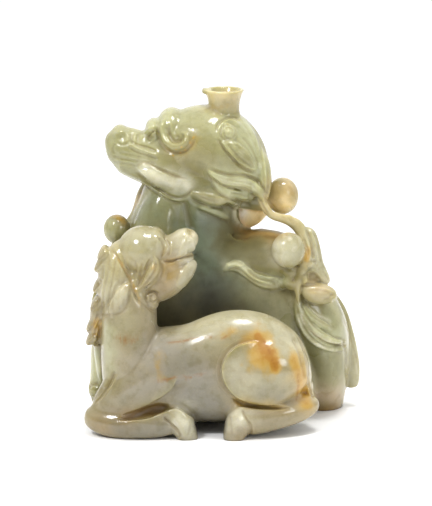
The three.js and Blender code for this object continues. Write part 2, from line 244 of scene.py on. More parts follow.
# %% The large qilin's body
TRUNK = [
    (-3.4, 9, -9, 15, 32), (-3.8, 9, 5, 18, 35.4), (-4.2, 9, 19, 18.4, 35.6), (-5.2, 9, 31, 18, 33.6),
    (-6.8, 8.5, 42.5, 17, 28.4), (-10.4, 7, 53, 13.4, 20), (-9.8, 6.5, 63, 12, 15.6), (-7, 4.5, 74, 12, 14),
    (-5, 4, 84, 9, 9),
]
THROAT = [(-15.5, 1, 73, 6, 5), (-18, 0, 63, 7, 7), (-20, -1, 50, 8.2, 8.6), (-22, -1, 35, 7, 8)]
BACK_HUMP = [
    (-9, 8, 49, 7, 6), (0, 5, 50, 10, 6.4), (9, 3, 50.4, 11, 6.9), (17, 3, 49.4, 11, 7),
    (24, 4, 45.4, 9, 6.4), (29, 6, 38, 7, 5),
]
HAUNCH_COLUMN = [
    (16, 6, 46, 9, 7), (22.6, 6, 37, 11, 9), (28.8, 8, 27, 13, 9), (31, 11, 16, 12, 8.2),
    (31, 14, 3, 9, 7.4), (31, 14, -8, 9, 7.2),
]
FORELEG = [(-29, 4, 38, 7, 6), (-33.6, 1, 25, 7, 5.6), (-36, -2, 14, 6, 3.9), (-35.6, -3.4, 3, 6.4, 5)]
PAW_PLACE, PAW_SIZE = (-37.4, -4, 9.8), (3, 5, 3.6)
BACK_HAUNCH = [(5.4, 18, 16, 5, 7), (13, 18, 17.4, 9.4, 12), (21, 16.6, 17, 10, 12.6), (29.4, 14, 13, 7, 8)]
BACK_FORELEG = [(-15, 18, 35, 7, 6), (-22, 18.6, 27, 8, 9), (-30.6, 16, 14, 7, 8), (-34, 14, 5, 5, 5)]
BACK_FOOT = [(31, 19, 4, 4, 4), (22, 23.6, 3.8, 3.8, 4), (11, 25.4, 3, 3, 3.4)]
BACK_PAW = [(-36, 15, 4, 4, 4.4), (-28, 21, 3.4, 3.6, 3.8), (-18.4, 23.4, 2.6, 2.8, 3.2)]

large_body = fuse("Large body", [
    loft("Trunk", TRUNK, power=5, boxy=2.3),
    loft("Throat", THROAT),
    loft("Back", BACK_HUMP),
    loft("Haunch column", HAUNCH_COLUMN, power=3),
    loft("Foreleg", FORELEG, power=3),
    ball("Paw", PAW_PLACE, PAW_SIZE),
    loft("Back haunch", BACK_HAUNCH),
    loft("Back foreleg", BACK_FORELEG),
    loft("Back foot", BACK_FOOT, power=3),
    loft("Back paw", BACK_PAW, power=3),
], grain=0.6, rounds=10)


def ease(share):
    """From 0 to 1 with soft ends."""
    share = np.clip(share, 0, 1)
    return share * share * (3 - 2 * share)


def soft_step(value, none, full):
    """0 where a value is at `none`, up to 1 where it is at `full`, with soft ends."""
    return ease((value - none) / (full - none))


FALL = 5.0
DIP_LEFT, DIP_RIGHT = (0, 7), (26, 19)
DIP_BEHIND, DIP_ABOVE = (5, 16), (46, 54)
body_dots = points_of(large_body)
x, y, z = body_dots.T
behind = soft_step(y, *DIP_BEHIND) * soft_step(x, *DIP_LEFT)
behind = behind * soft_step(x, *DIP_RIGHT) * soft_step(z, *DIP_ABOVE)
body_dots[:, 2] -= FALL * behind
move_points(large_body, body_dots)
print("points pressed down behind the gap:", int((behind > 0.5).sum()))

# %% [markdown]
# The head is the centre of the group. Its masses are the skull, a long muzzle, the nose, two bumps of
# the brow, the jowl and the hair down the nape. They are set out about one upright plane, so both
# sides of the face match.

# %% The large head
HEAD_MIDDLE = 4.0
H = HEAD_MIDDLE
SKULL = [
    (-21, H, 83, 7.5, 6.5), (-13, H, 83.6, 11, 10.6), (-2.4, H, 82, 12.8, 12.8), (5.2, H, 76.6, 12.4, 10.2),
    (8, H, 66, 10.4, 5.8),
]
MUZZLE = [
    (-34.6, H, 80.8, 5, 5), (-30.4, H, 81.8, 6.8, 6.8), (-24, H, 79.6, 7.8, 7.6), (-14, H, 77.5, 10, 10),
    (0, H, 77, 12, 11),
]
NAPE_HAIR = [
    (11.6, 1, 83, 3.4, 1.4), (12.4, -0.5, 77, 4.4, 2.2), (12.4, -1.5, 71, 4.4, 2.4),
    (11.8, -2.6, 66.4, 3, 2),
]
JOWL = [(-18, H, 73.5, 8, 3), (-9, H, 71.5, 11, 4), (0, H, 69, 12, 5), (6, H, 66.5, 10.4, 4)]
CHIN = [
    (-33, H, 79.6, 4.6, 3.2), (-29, H, 78.4, 5.6, 4.2), (-24, H, 76.6, 6.6, 4.6), (-17, H, 74.4, 8, 4.4),
]

large_head = fuse("Large head", [
    loft("Skull", SKULL, power=2.6),
    loft("Muzzle", MUZZLE, power=3.6),
    loft("Nape hair", NAPE_HAIR),
    loft("Jowl", JOWL),
    loft("Chin", CHIN),
    ball("Nose", (-30.4, H, 86.2), (2.8, 5.4, 3)),
    ball("Lower brow", (-20.4, H, 87.8), (2.6, 6.4, 3.4)),
    ball("Brow", (-15, H, 89), (4.4, 8, 5.4)),
], grain=0.5, rounds=7)

# %% [markdown]
# The cub lies along the front with its legs folded under it. Its haunch is a full oval that stands
# proud of the flank, and its tail is pressed against the rump.

# %% The cub's body
CUB_TRUNK = [
    (-32, -13, 15, 8, 12), (-22, -15, 17, 11, 14.6), (-9, -15.5, 17.6, 10.6, 15), (4, -15, 19.6, 11.4, 17),
    (14, -13.5, 19, 11.4, 15.6), (25.6, -11.5, 12, 8.6, 9),
]
CUB_NECK = [
    (-28, -15, 5, 10, 8.4), (-27.6, -15.6, 22, 10.4, 8.4), (-27.4, -15, 37, 8.6, 8.2),
    (-25.4, -14, 51, 6.6, 7),
]
CUB_UPPER_ARM = [
    (-16, -18, 28, 5, 5), (-21.5, -18.6, 20, 8, 8), (-29, -19, 12.5, 7.8, 7.8), (-38, -18.5, 6, 6.6, 5),
]
CUB_FOREARM = [
    (-40.6, -18.5, 5.6, 5, 5), (-31, -21.5, 4, 5.6, 4.8), (-21, -23.4, 4, 4.4, 4.2),
    (-12, -23.6, 4, 3.2, 3.6),
]
CUB_FRONT_HOOF = [
    (-17.6, -23, 8.6, 2.8, 2.6), (-14, -23.6, 6.8, 3.6, 3.2), (-10.9, -23.8, 2.6, 3.6, 3.4),
    (-9.6, -23.8, -3, 3.4, 3.4),
]
CUB_HAUNCH_PLACE, CUB_HAUNCH_SIZE = (12.4, -17, 19.2), (13.4, 10.8, 12)
CUB_SHANK = [
    (1.6, -24, 5, 3.4, 4.6), (10, -23.4, 5.6, 4.2, 4.6), (20, -20, 7, 4.6, 4.2), (28.4, -14.4, 8.4, 4, 4),
]
CUB_REAR_HOOF = [
    (8, -23.4, 9.4, 2.8, 2.8), (5, -24.2, 6.2, 3.6, 3.5), (3.7, -24.4, 2, 3.6, 3.4),
    (3.5, -24.4, -3, 3.4, 3.3),
]

cub_body = fuse("Cub body", [
    loft("Cub trunk", CUB_TRUNK, power=2.8),
    loft("Cub neck", CUB_NECK, power=3),
    loft("Cub upper arm", CUB_UPPER_ARM, power=2.6),
    loft("Cub forearm", CUB_FOREARM, power=3),
    loft("Cub front hoof", CUB_FRONT_HOOF, power=3.4, boxy=2.8),
    ball("Cub haunch", CUB_HAUNCH_PLACE, CUB_HAUNCH_SIZE),
    loft("Cub shank", CUB_SHANK, power=3),
    loft("Cub rear hoof", CUB_REAR_HOOF, power=3.4, boxy=2.8),
], grain=0.5, rounds=5)

# %% [markdown]
# The cub throws its head back to look at the large one, with its lips parted. The muzzle and the lower
# jaw are two lofts that stay apart at their tips, and the skull and the cheeks are balls between them.

# %% The cub's head
CUB_MIDDLE = -14.0
C = CUB_MIDDLE
CUB_MUZZLE = [
    (-22, C, 52.6, 6, 6), (-15.6, C, 55, 5.4, 4.1), (-12.6, C, 56.1, 4.9, 4.2), (-10.4, C, 56.9, 4.3, 4.5),
    (-8.1, C, 55.3, 2.6, 3.2),
]
CUB_MOUTH = [(172, 257, C, 5, 2.6), (182, 256.5, C, 4.6, 2.4), (194, 256, C, 3.2, 1.6)]
CUB_JAW = [
    (-22, C, 40.6, 5.4, 5.4), (-16.6, C, 45.6, 5.8, 5.4), (-11.6, C, 49, 4.8, 4), (-8, C, 51.2, 3, 2.2),
]

cub_head = fuse("Cub head", [
    loft("Cub muzzle", CUB_MUZZLE, power=3.6),
    loft("Cub jaw", CUB_JAW, power=2.6),
    ball("Cub skull", (-23.4, C, 54.6), (7.6, 7.6, 7.4)),
    ball("Cub brow", (-19.8, C, 57.2), (3.4, 6.4, 4.4)),
    loft("Cub mouth", [(*at((px, py), y), thick, breadth) for px, py, y, thick, breadth in CUB_MOUTH]),
    ball("Cub cheek", (-20, C, 48.4), (6.4, 6.6, 8.4)),
    ball("Cub lips", (-15.4, C, 50.6), (5, 5.2, 5)),
    ball("Cub throat", (-20.8, C - 3.2, 39.8), (2.3, 3.4, 2.6)),
], grain=0.4, rounds=5)

# %% [markdown]
# What is raised on a surface, such as a curl, an ear or a leaf, has to sit on the stone beneath it. A
# ray finds the surface under each station, and the loft is laid there with its thickness square to the
# stone. Stations are given across and up in millimetres, or as the picture shows them, in pixels.

# %% Lay a form on the stone
BACK = 1
FAR = 200.0
TO_EYE = 0.5
BLUNT = 2.2


def lay(name, skin, side, stations):
    """A form on one side of the stone. A station is x, z, proud, half breadth."""
    found = []
    for station in stations:
        start = Vector((station[0], side * FAR, station[1]))
        place, normal, _, _ = skin.ray_cast(start, Vector((0, -side, 0)))
        if place is not None:
            outward = normal * (1 if normal.y * side > 0 else -1)
            found.append((place.y, (outward + Vector((0, side, 0))).normalized()))
        else:
            found.append(None)
    held = [i for i, seat in enumerate(found) if seat]
    seats = [seat or found[min(held, key=lambda k: abs(k - i))] for i, seat in enumerate(found)]
    rows = [(x, seat[0], z, proud, breadth) for (x, z, proud, breadth), seat in zip(stations, seats)]
    return loft(name, rows, power=BLUNT, facing=[tuple(seat[1]) for seat in seats])


def trace(name, skin, stations):
    """A form drawn in the picture. A station is pixel x, pixel y, proud, half breadth, lift."""
    rows, facing = [], []
    for px, py, proud, breadth, lift in stations:
        place, normal, _, _ = skin.ray_cast(Vector(eye), sight((px, py)))
        if place is None:
            continue
        normal = (normal - Vector(look) * TO_EYE).normalized()
        place = place + normal * lift
        rows.append((place.x, place.y, place.z, proud, breadth))
        facing.append(tuple(normal))
    return loft(name, rows, power=BLUNT, facing=facing)


def drawn(name, stations, power=2.4, boxy=2.0):
    """A free form drawn in the picture.
    A station is pixel x, pixel y, depth y, half thickness, half breadth."""
    rows = [(*at((px, py), y), thick, breadth) for px, py, y, thick, breadth in stations]
    return loft(name, rows, power, boxy)


def mirrored(piece, middle):
    """A copy on the other side of an upright plane."""
    pick([piece])
    bpy.ops.object.duplicate()
    copy = bpy.context.object
    bpy.ops.object.mode_set(mode="EDIT")
    bpy.ops.mesh.select_all(action="SELECT")
    bpy.ops.transform.resize(value=(1, -1, 1), center_override=(0, middle, 0))
    bpy.ops.mesh.flip_normals()
    bpy.ops.object.mode_set(mode="OBJECT")
    return copy


# %% [markdown]
# Both sides of the large head carry a curl over the eye, a curled ear with a leaf, and a plate along
# the jaw. The horn is a short flared tube with a hollow mouth. Its wall is one outline spun about its
# own axis, out along the outside and back down the inside.

# %% Relief and horn of the large head
head_skin = skin_of([large_head])
BROW_CURL = [
    (166, 117, 0.7, 1.2, 0), (163.5, 124, 1.1, 1.3, 0.2), (164, 133, 1.3, 1.3, 0.3),
    (167.5, 141.5, 1.4, 1.3, 0.3), (174.5, 146.5, 1.4, 1.3, 0.3), (182, 145.5, 1.3, 1.2, 0.3),
    (187, 140, 1.2, 1.1, 0.2), (186, 134, 0.9, 1, 0.1), (181, 132.5, 0.6, 0.8, 0),
]
EAR_DISC = [(222, 134, 0.8, 1.6, 0.1), (229, 132, 1.1, 3, 0.2), (237, 130, 0.8, 1.8, 0.1)]
EAR_LEAF = [
    (224, 141, 0.8, 1, 0.1), (232, 147, 1.2, 2.1, 0.2), (240, 154, 1.3, 2.4, 0.3),
    (248, 162, 1.2, 1.7, 0.2), (257, 169, 0.7, 0.7, 0),
]
JAW_PLATE = [
    (138, 169, 0.8, 0.9, 0.1), (147, 172.5, 1.3, 1.9, 0.2), (159, 179, 1.5, 2.5, 0.3),
    (171, 184.5, 1.5, 2.6, 0.3), (182, 187.5, 1.3, 2.3, 0.2), (190, 186, 0.9, 1.6, 0),
]
head_relief = [
    trace("Brow curl", head_skin, BROW_CURL),
    trace("Ear disc", head_skin, EAR_DISC),
    trace("Ear leaf", head_skin, EAR_LEAF),
    trace("Jaw plate", head_skin, JAW_PLATE),
]
head_relief += [mirrored(piece, HEAD_MIDDLE) for piece in head_relief]

HORN_PLACE = (0.6, 3.0)
HORN_FOOT = 92.0
HORN_OUTLINE = [
    (0, 0), (5, 0), (4.6, 1.4), (4.6, 3.4), (4.9, 5.2), (5.5, 7), (6, 8),
    (5, 8.1), (4.2, 6.4), (2.4, 5.7), (0, 5.6),
]
HORN_LIP = [(212, 91.5, 3, 2.6, 1), (206, 91, 3, 2.2, 0.9), (202, 90.5, 3, 1.4, 0.8)]


def spun(name, outline, place, foot, steps=64):
    """A turned form: an outline of radius and height, spun about an upright axis."""
    mesh = bpy.data.meshes.new(name)
    mesh.from_pydata([(r, 0, h) for r, h in outline], [(i, i + 1) for i in range(len(outline) - 1)], [])
    piece = bpy.data.objects.new(name, mesh)
    bpy.context.collection.objects.link(piece)
    pick([piece])
    bpy.ops.object.mode_set(mode="EDIT")
    bpy.ops.mesh.select_all(action="SELECT")
    bpy.ops.mesh.spin(steps=steps, angle=math.tau, center=(0, 0, 0), axis=(0, 0, 1))
    bpy.ops.mesh.select_all(action="SELECT")
    bpy.ops.mesh.remove_doubles(threshold=0.01)
    bpy.ops.mesh.normals_make_consistent(inside=False)
    bpy.ops.object.mode_set(mode="OBJECT")
    move_points(piece, points_of(piece) + (*place, foot))
    return piece


horn = spun("Horn", HORN_OUTLINE, HORN_PLACE, HORN_FOOT)
print("on the large head:", len(head_relief), "raised forms, horn:", len(horn.data.polygons), "faces")

# %% [markdown]
# The cub carries an ear, a mane with pointed locks along its edge, one full lock at the front, and its
# tail, with a small ball that fills the rump beside it. The locks' tips stand free of the outline, so
# they are drawn in the picture at the cub's depth.

# %% Relief of the cub
cub_skin = skin_of([cub_body, cub_head])
CUB_EAR = [
    (154, 256, 0.6, 0.6, 0.2), (155, 262.5, 1.1, 1.1, 0.3), (153, 270.5, 1.3, 1.5, 0.4),
    (148, 279, 1.2, 1.3, 0.4), (142, 286.5, 0.8, 0.8, 0.3), (137.5, 292, 0.5, 0.5, 0.1),
]
CUB_CHEEK_CURL = [(147, 298, 0.5, 1.3, 0), (153, 297.5, 0.7, 2.1, 0), (159, 297, 0.5, 1.3, 0)]
CUB_MANE = [
    (-28, -14, 58, 4.4, 4), (-30.6, -14, 51, 6.4, 5.2), (-31.8, -14.4, 43, 7, 5.4),
    (-32.6, -14.4, 35, 5, 4.6),
]
CUB_LOWER_MANE = [
    (102, 294, -14, 3.8, 2.2), (98.5, 310, -14, 4, 2.4), (96.5, 323, -13.6, 3.8, 2.2),
    (95.5, 335, -13.4, 3.4, 2.1), (95.5, 346, -13, 2.2, 1.4),
]
CUB_LOCK = [
    (-26.4, -20.4, 46.6, 1.6, 1.2), (-29.4, -21.6, 43, 1.9, 2.1), (-31.4, -21.4, 38.4, 1.8, 2.2),
    (-32.2, -21, 35.2, 1.2, 1.4),
]
CUB_TAIL = [
    (287, 328, -11, 2, 1.6), (293, 336, -11.6, 2.2, 1.6), (300, 352, -12.2, 2.4, 1.6),
    (304.5, 370, -12.8, 2.6, 1.5), (307, 386, -13.2, 2.6, 1.5), (311, 398, -13.6, 2.2, 1.5),
    (317.5, 403, -14, 1, 0.8),
]
RUMP_PIXEL, RUMP_DEPTH, RUMP_SIZE = (303.5, 388), -11.5, (3, 3.4, 4.6)
MANE_TIPS = [(98, 259.5), (95, 271), (93.5, 291.5), (91, 310), (87, 331), (86.5, 344)]
TIP_RISE, TIP_WIDE = 11, 11
TIP_ROOT, TIP_HALFWAY, TIP_END = (4, 2.2), (3.4, 1.7), (2, 0.7)


def mane_tip(tip):
    """A pointed lock that ends at a pixel of the mane's edge."""
    x, y = tip
    return drawn("Mane tip", [
        (x + TIP_WIDE, y - TIP_RISE, CUB_MIDDLE, *TIP_ROOT),
        (x + TIP_WIDE / 2, y - TIP_RISE / 2, CUB_MIDDLE, *TIP_HALFWAY),
        (x, y, CUB_MIDDLE, *TIP_END),
    ], power=5)


cub_relief = [
    trace("Cub ear", cub_skin, CUB_EAR),
    trace("Cub cheek curl", cub_skin, CUB_CHEEK_CURL),
]
cub_relief += [mirrored(piece, CUB_MIDDLE) for piece in cub_relief]
cub_relief += [loft("Cub mane", CUB_MANE), drawn("Cub lower mane", CUB_LOWER_MANE, power=4)]
cub_relief += [loft("Cub front lock", CUB_LOCK), drawn("Cub tail", CUB_TAIL)]
cub_relief += [ball("Cub rump", at(RUMP_PIXEL, RUMP_DEPTH), RUMP_SIZE)]
cub_relief += [mane_tip(tip) for tip in MANE_TIPS]
print("on the cub:", len(cub_relief), "raised forms")

# %% [markdown]
# The spray climbs from behind the chest over the neck and hangs down the haunch. Its stems are round
# lofts, its fruit are balls, and small balls make the knots where leaves and stem meet. Behind the
# stem, the gap between neck and back goes right through the stone, and one loft makes its inner wall.
# Two locks close the edge behind the cub's mane.

# %% The stems and the fruit
body_skin = skin_of([large_body, large_head])
FRONT_STEM = [
    (257, 188, -4, 1.6, 1.8), (262, 201, -3.6, 1.7, 1.9), (267, 210, -3.2, 1.6, 1.6),
    (273, 216, -3, 1.4, 1.25), (281, 218, -2.6, 1.4, 1.4), (290, 221, -2.4, 1.5, 1.6),
    (298, 226.5, -2.6, 1.6, 1.9), (303.5, 237, -3.6, 1.6, 1.7), (307, 249, -4.6, 1.6, 1.5),
    (305.5, 260, -5.4, 1.6, 1.5), (301, 270, -6.2, 1.7, 1.6), (298, 281, -6.8, 1.6, 1.5),
    (297.5, 293, -6.6, 1.5, 1.3), (298.5, 306, -6, 1.1, 1),
]
STEMS = [
    [(2, 8, 67.4, 5, 5), (10, 7, 66.2, 4.6, 3.8), (20, 4, 66.4, 4, 3)],
    [(-21.6, 12, 72, 1.6, 1.6), (-23.4, 12, 66.6, 2, 2.4), (-26, 9, 60.6, 1.8, 1.8),
     (-29.4, 5, 55.6, 2, 2.2), (-32.6, 4, 49.4, 2, 2), (-35.2, 4, 42, 1.8, 2.2),
     (-37.6, 2, 33, 2.2, 2.4), (-38.4, 1, 24, 1.6, 1.8)],
]
GAP_WALL = [
    (230, 212, 8.4, 3, 3.4), (239, 214.5, 8, 3.2, 4.4), (249, 213.5, 8, 3.2, 4.1),
    (259, 211, 8.4, 2.8, 3.1), (268, 209, 9, 2, 1.9),
]
FRUITS = [
    ((18.2, 4.4, 67.4), (4.8, 4.8, 5.6)), ((19.7, -8, 53.4), (5, 4.8, 5.3)),
    ((-31.6, 2.4, 57.6), (4, 4.4, 4.5)),
]
KNOTS = [
    (290, 271, -5.6, 2.4), (292, 281, -5.2, 2.8), (303, 279, -6.6, 1.5), (307, 264, -5.6, 1.2),
    (312, 258, -4.4, 1), (299, 275, -4, 3.4), (309, 274, -3, 3.4), (311, 266, -3, 2.6),
    (307, 288, -4, 2.4), (283, 281.5, -3.6, 2.2),
]
BACK_LOCKS = [
    [(101, 292, -11, 4, 2.4), (98, 308, -11, 4, 2.2), (97, 322, -11, 4, 2.4), (96, 335, -11, 4, 2.2),
     (95, 344, -11, 3, 1.6)],
    [(101, 318, -9, 4.6, 2.2), (100, 340, -9, 4.6, 2), (101, 362, -8, 4.4, 1.8), (102, 384, -7, 4, 1.6)],
]
gap_wall = drawn("Gap wall", GAP_WALL, power=3, boxy=3.2)
wall_zone = skin_of([gap_wall])
spray = [drawn("Front stem", FRONT_STEM), gap_wall]
spray += [loft(f"Stem {i}", line, power=4) for i, line in enumerate(STEMS, 2)]
spray += [ball(f"Fruit {i}", *fruit) for i, fruit in enumerate(FRUITS, 1)]
spray += [ball("Knot", at((px, py), y), (size, size, size)) for px, py, y, size in KNOTS]
spray += [drawn("Back lock", line) for line in BACK_LOCKS]
print("spray so far:", len(spray), "forms")

# %% [markdown]
# Mane locks and leaves lie along the surface, so they are raised bands that taper to a point. Each band
# is a line of stations laid on the body where the picture shows it. Sculpting could raise them too, but
# a line of stations keeps the taper and the height in view as numbers. The leaves at the outline have
# no stone behind them for a ray to find, so they are free forms at a depth of their own. The large
# one's tail is two lofts, one across its back and one down the edge of its haunch.

# %% The mane locks and the leaves
MANE_LOCKS = [
    [(208, 169.5, 0.7, 0.9, 0.2), (212.5, 173.5, 1.1, 1.5, 0.3), (221, 178.5, 1.2, 1.7, 0.4),
     (232, 181.5, 1.3, 1.9, 0.4), (243, 182.5, 1.3, 2, 0.4), (252, 185.5, 1.4, 2.1, 0.5),
     (260, 192, 1.6, 1.9, 0.6), (264, 200, 1.4, 1.5, 0.6)],
    [(212, 178, 0.6, 0.8, 0.2), (218.5, 186, 0.9, 1.3, 0.3), (228.5, 191.5, 1.1, 1.6, 0.4),
     (239, 194.5, 1.2, 1.8, 0.4), (249, 197, 1.2, 1.7, 0.4), (257, 203, 1.1, 1.2, 0.3)],
    [(222, 193, 0.5, 0.7, 0.1), (230, 200, 0.8, 1.2, 0.2), (239, 204, 0.9, 1.2, 0.2),
     (248, 204.5, 0.8, 0.9, 0.2)],
    [(190, 192, 0.4, 0.9, 0.1), (198.5, 195.5, 0.8, 1.7, 0.2), (208, 199, 1, 2.1, 0.2),
     (217, 200.5, 0.9, 1.9, 0.2), (225, 200, 0.7, 1.2, 0.2), (230, 197, 0.5, 0.7, 0.1)],
    [(197, 206, 0.5, 0.8, 0.1), (206, 208.5, 0.8, 1.3, 0.2), (215, 211.5, 0.9, 1.4, 0.3),
     (224, 215, 0.7, 1.1, 0.2), (231, 219, 0.4, 0.6, 0)],
]
BACK_MANE_LEAF = [(-3.8, 76.6, 0.8, 0.8), (1, 74.6, 1.8, 2), (7, 73, 2, 2.6), (12, 69, 1.8, 2)]
FLANK_LEAVES = [
    [(223, 271, 0.7, 0.8, 0.3), (229, 267, 1.3, 1.6, 0.5), (238, 266, 1.5, 1.9, 0.6),
     (246, 271, 1.5, 1.7, 0.6), (254, 278, 1.4, 1.6, 0.6), (264, 283.5, 1.3, 1.6, 0.5),
     (275, 285.5, 1.1, 1.5, 0.4), (286, 284, 0.6, 0.9, 0.2)],
    [(245, 266, 0.5, 0.6, 0.4), (253, 272.5, 0.9, 0.9, 0.6), (264, 277, 1, 1.1, 0.7),
     (276, 278.5, 0.9, 1.1, 0.6), (286, 278, 0.6, 0.9, 0.3)],
]
HANGING_LEAVES = [
    [(297.5, 296, 1.1, 1.2, 0.3), (298, 308, 1.2, 1.4, 0.4), (301, 319.5, 1.2, 1.6, 0.5),
     (307, 331, 1.2, 1.7, 0.5), (317, 341, 1.1, 1.7, 0.5), (328.5, 347, 1, 1.4, 0.4),
     (340, 349, 0.8, 1, 0.3), (347, 346.5, 0.4, 0.5, 0.2)],
    [(302, 300, 0.7, 0.8, 0.4), (305, 312, 1, 1.1, 0.6), (311, 324.5, 1.1, 1.3, 0.6),
     (321, 334.5, 1.1, 1.3, 0.6), (333, 340, 0.9, 1.1, 0.6), (346, 342, 0.6, 0.6, 0.3)],
    [(302.5, 302, 0.6, 0.7, 0.5), (308, 311.5, 0.9, 1, 0.7), (315.5, 319.5, 1, 1.1, 0.7),
     (325, 325, 0.9, 1, 0.6), (333, 327.5, 0.5, 0.5, 0.3)],
]
EDGE_LEAVES = [
    [(303, 227, -2, 1.6, 1), (309.5, 232.5, -2, 2.6, 1.9), (311.5, 243, -1.8, 3, 2.4),
     (313, 254, -1.6, 3, 2.6), (316, 265, -1.2, 2.6, 2.5), (322.5, 274, -0.8, 2.4, 2.2),
     (329.5, 281, -0.4, 2, 1.7)],
    [(303, 266, -3, 2.4, 2.2), (312, 270, -2, 2.6, 2.6), (321, 276, -2, 2.4, 2.4),
     (329, 283, -2, 1.8, 1.8)],
    [(302, 285, -5.4, 2.2, 2), (310, 292, -5.4, 2.8, 3), (321, 294, -4.4, 2.8, 3.2),
     (331, 296, -3, 2.4, 2.6), (337, 299, -2.4, 1.2, 1.2)],
]
TAIL_BLADE = [
    (29, 18, 37, 3.4, 3), (34.8, 15, 30, 3, 3), (37.8, 13, 22, 2.6, 2.8), (39.4, 12.4, 14, 2.2, 2.8),
    (40, 12, 6, 2, 2.8),
]
TAIL_ROOT = [(6, 24, 44, 1.4, 1.6), (13, 25.4, 38, 2.4, 2.8), (23, 24, 36.6, 3, 3.4), (31, 19, 35, 3, 3)]

spray += [trace("Mane lock", body_skin, line) for line in MANE_LOCKS]
spray += [lay("Back mane leaf", body_skin, BACK, BACK_MANE_LEAF)]
spray += [trace("Flank leaf", body_skin, line) for line in FLANK_LEAVES]
spray += [trace("Hanging leaf", body_skin, line) for line in HANGING_LEAVES]
spray += [drawn("Edge leaf", line) for line in EDGE_LEAVES]
spray += [loft("Tail blade", TAIL_BLADE, power=4), loft("Tail root", TAIL_ROOT)]
print("with locks, leaves and tail:", len(spray), "forms")

# %% [markdown]
# All forms now become one stone. The last remesh is fine enough for cut lines under a millimetre wide,
# and only lightly rubbed. The underside is cut off flat, as the lap leaves it, so the group stands.

# %% One stone with a flat underside
cub_zone = skin_of([cub_body, cub_head, *cub_relief])
FINE_GRAIN = 0.32
stone = fuse("carved_stone", [
    large_body, large_head, *head_relief, horn, drawn("Horn lip", HORN_LIP, power=4),
    cub_body, cub_head, *cub_relief, *spray,
], grain=FINE_GRAIN, rounds=4)
bpy.ops.object.mode_set(mode="EDIT")
bpy.ops.mesh.select_all(action="SELECT")
bpy.ops.mesh.bisect(plane_co=(0, 0, 0), plane_no=(0, 0, 1), use_fill=True, clear_inner=True)
bpy.ops.object.mode_set(mode="OBJECT")
print("stone", len(stone.data.vertices), "points")

# %% [markdown]
# Lines and hollows are cut last, as on the real stone. A brush in Sculpt Mode would do this by hand.
# Here each line is drawn in the picture, and every point near it that the camera sees is pushed in or
# drawn out along its own normal. The cut fades where the surface turns away from the eye, because a
# thin line would smear there. Lines of the large head are cut on its far side as well.

# %% A tool for cut lines, ledges and plates
CELL = 1.5
CELLS = 1000
BEHIND = 2.2
FACE_ON, FADE = 0.02, 0.3
OFF_MIDDLE, HEAD_BOTTOM, HEAD_BACK = 2, 66, 14
relief = []


def draw(kind, depth, width, pixels, both=False):
    """Notes one cut. `depth` is in millimetres, below 0 for a groove, and `width` is its half width."""
    relief.append((kind, depth, width, np.array(pixels, float), both))


def views_of(dots, normals):
    """The points that the camera sees, and those that it would see of the head's far side.
    Each point comes with its pixel, and with 1 where it faces the eye down to 0 where it turns away."""
    spots, depth = to_pixels(dots)
    key = (spots / CELL).astype(int) @ (CELLS, 1)
    nearest = np.full(CELLS * CELLS, np.inf)
    np.minimum.at(nearest, key, depth)
    away = normals @ look
    near = np.flatnonzero((away < FACE_ON) & (depth < nearest[key] + BEHIND))
    flip = np.array([1, -1, 1])
    far_spots, far_depth = to_pixels(dots * flip + (0, 2 * HEAD_MIDDLE, 0))
    key = (far_spots / CELL).astype(int) @ (CELLS, 1)
    far_away = (normals * flip) @ look
    of_head = (dots[:, 1] > HEAD_MIDDLE + OFF_MIDDLE) & (dots[:, 2] > HEAD_BOTTOM)
    of_head &= dots[:, 0] < HEAD_BACK
    far = np.flatnonzero(of_head & (far_away < FACE_ON) & (far_depth < nearest[key] + 2 * BEHIND))
    return [
        (which, pixels[which], ease((FACE_ON - turned[which]) / FADE))
        for which, pixels, turned in ((near, spots, away), (far, far_spots, far_away))
    ]


def beside(spots, pixels, reach):
    """Points near a drawn line: which, how far off in millimetres, on which side, and how far along."""
    steps = int(np.linalg.norm(np.diff(pixels, axis=0), axis=1).sum()) + 2
    line = along_line(pixels, np.linspace(0, 1, steps))
    margin = reach / PIXEL
    inside = (spots > line.min(axis=0) - margin) & (spots < line.max(axis=0) + margin)
    held = np.flatnonzero(inside.all(axis=1))
    gaps = spots[held][:, None] - line[None]
    nearest = (gaps ** 2).sum(axis=2).argmin(axis=1)
    gap = gaps[np.arange(len(held)), nearest]
    course = unit(np.gradient(line, axis=0))[nearest]
    across = course[:, 0] * gap[:, 1] - course[:, 1] * gap[:, 0]
    onward = np.abs((course * gap).sum(axis=1))
    off = np.hypot(across, np.maximum(onward - 1, 0)) * PIXEL
    return held, off, np.sign(across), nearest / (steps - 1)


def within(spots, outline):
    """Whether spots lie inside a closed outline."""
    inside = np.zeros(len(spots), bool)
    for (ax, ay), (bx, by) in zip(outline, np.roll(outline, -1, axis=0)):
        spans = (ay > spots[:, 1]) != (by > spots[:, 1])
        crossing = ax + (spots[:, 1] - ay) * (bx - ax) / (by - ay if by != ay else 1e-9)
        inside ^= spans & (spots[:, 0] < crossing)
    return inside


TAPER = 0.14
LINE_REACH = 4
LEDGE_RISE = 0.4


def bell(off, width):
    """1 on a line, down to 0 beside it."""
    return np.exp(-(off / width) ** 2)


def tapered(share):
    """0 at both ends of a line, up to 1 along its middle."""
    return ease(np.minimum(share, 1 - share) / TAPER)


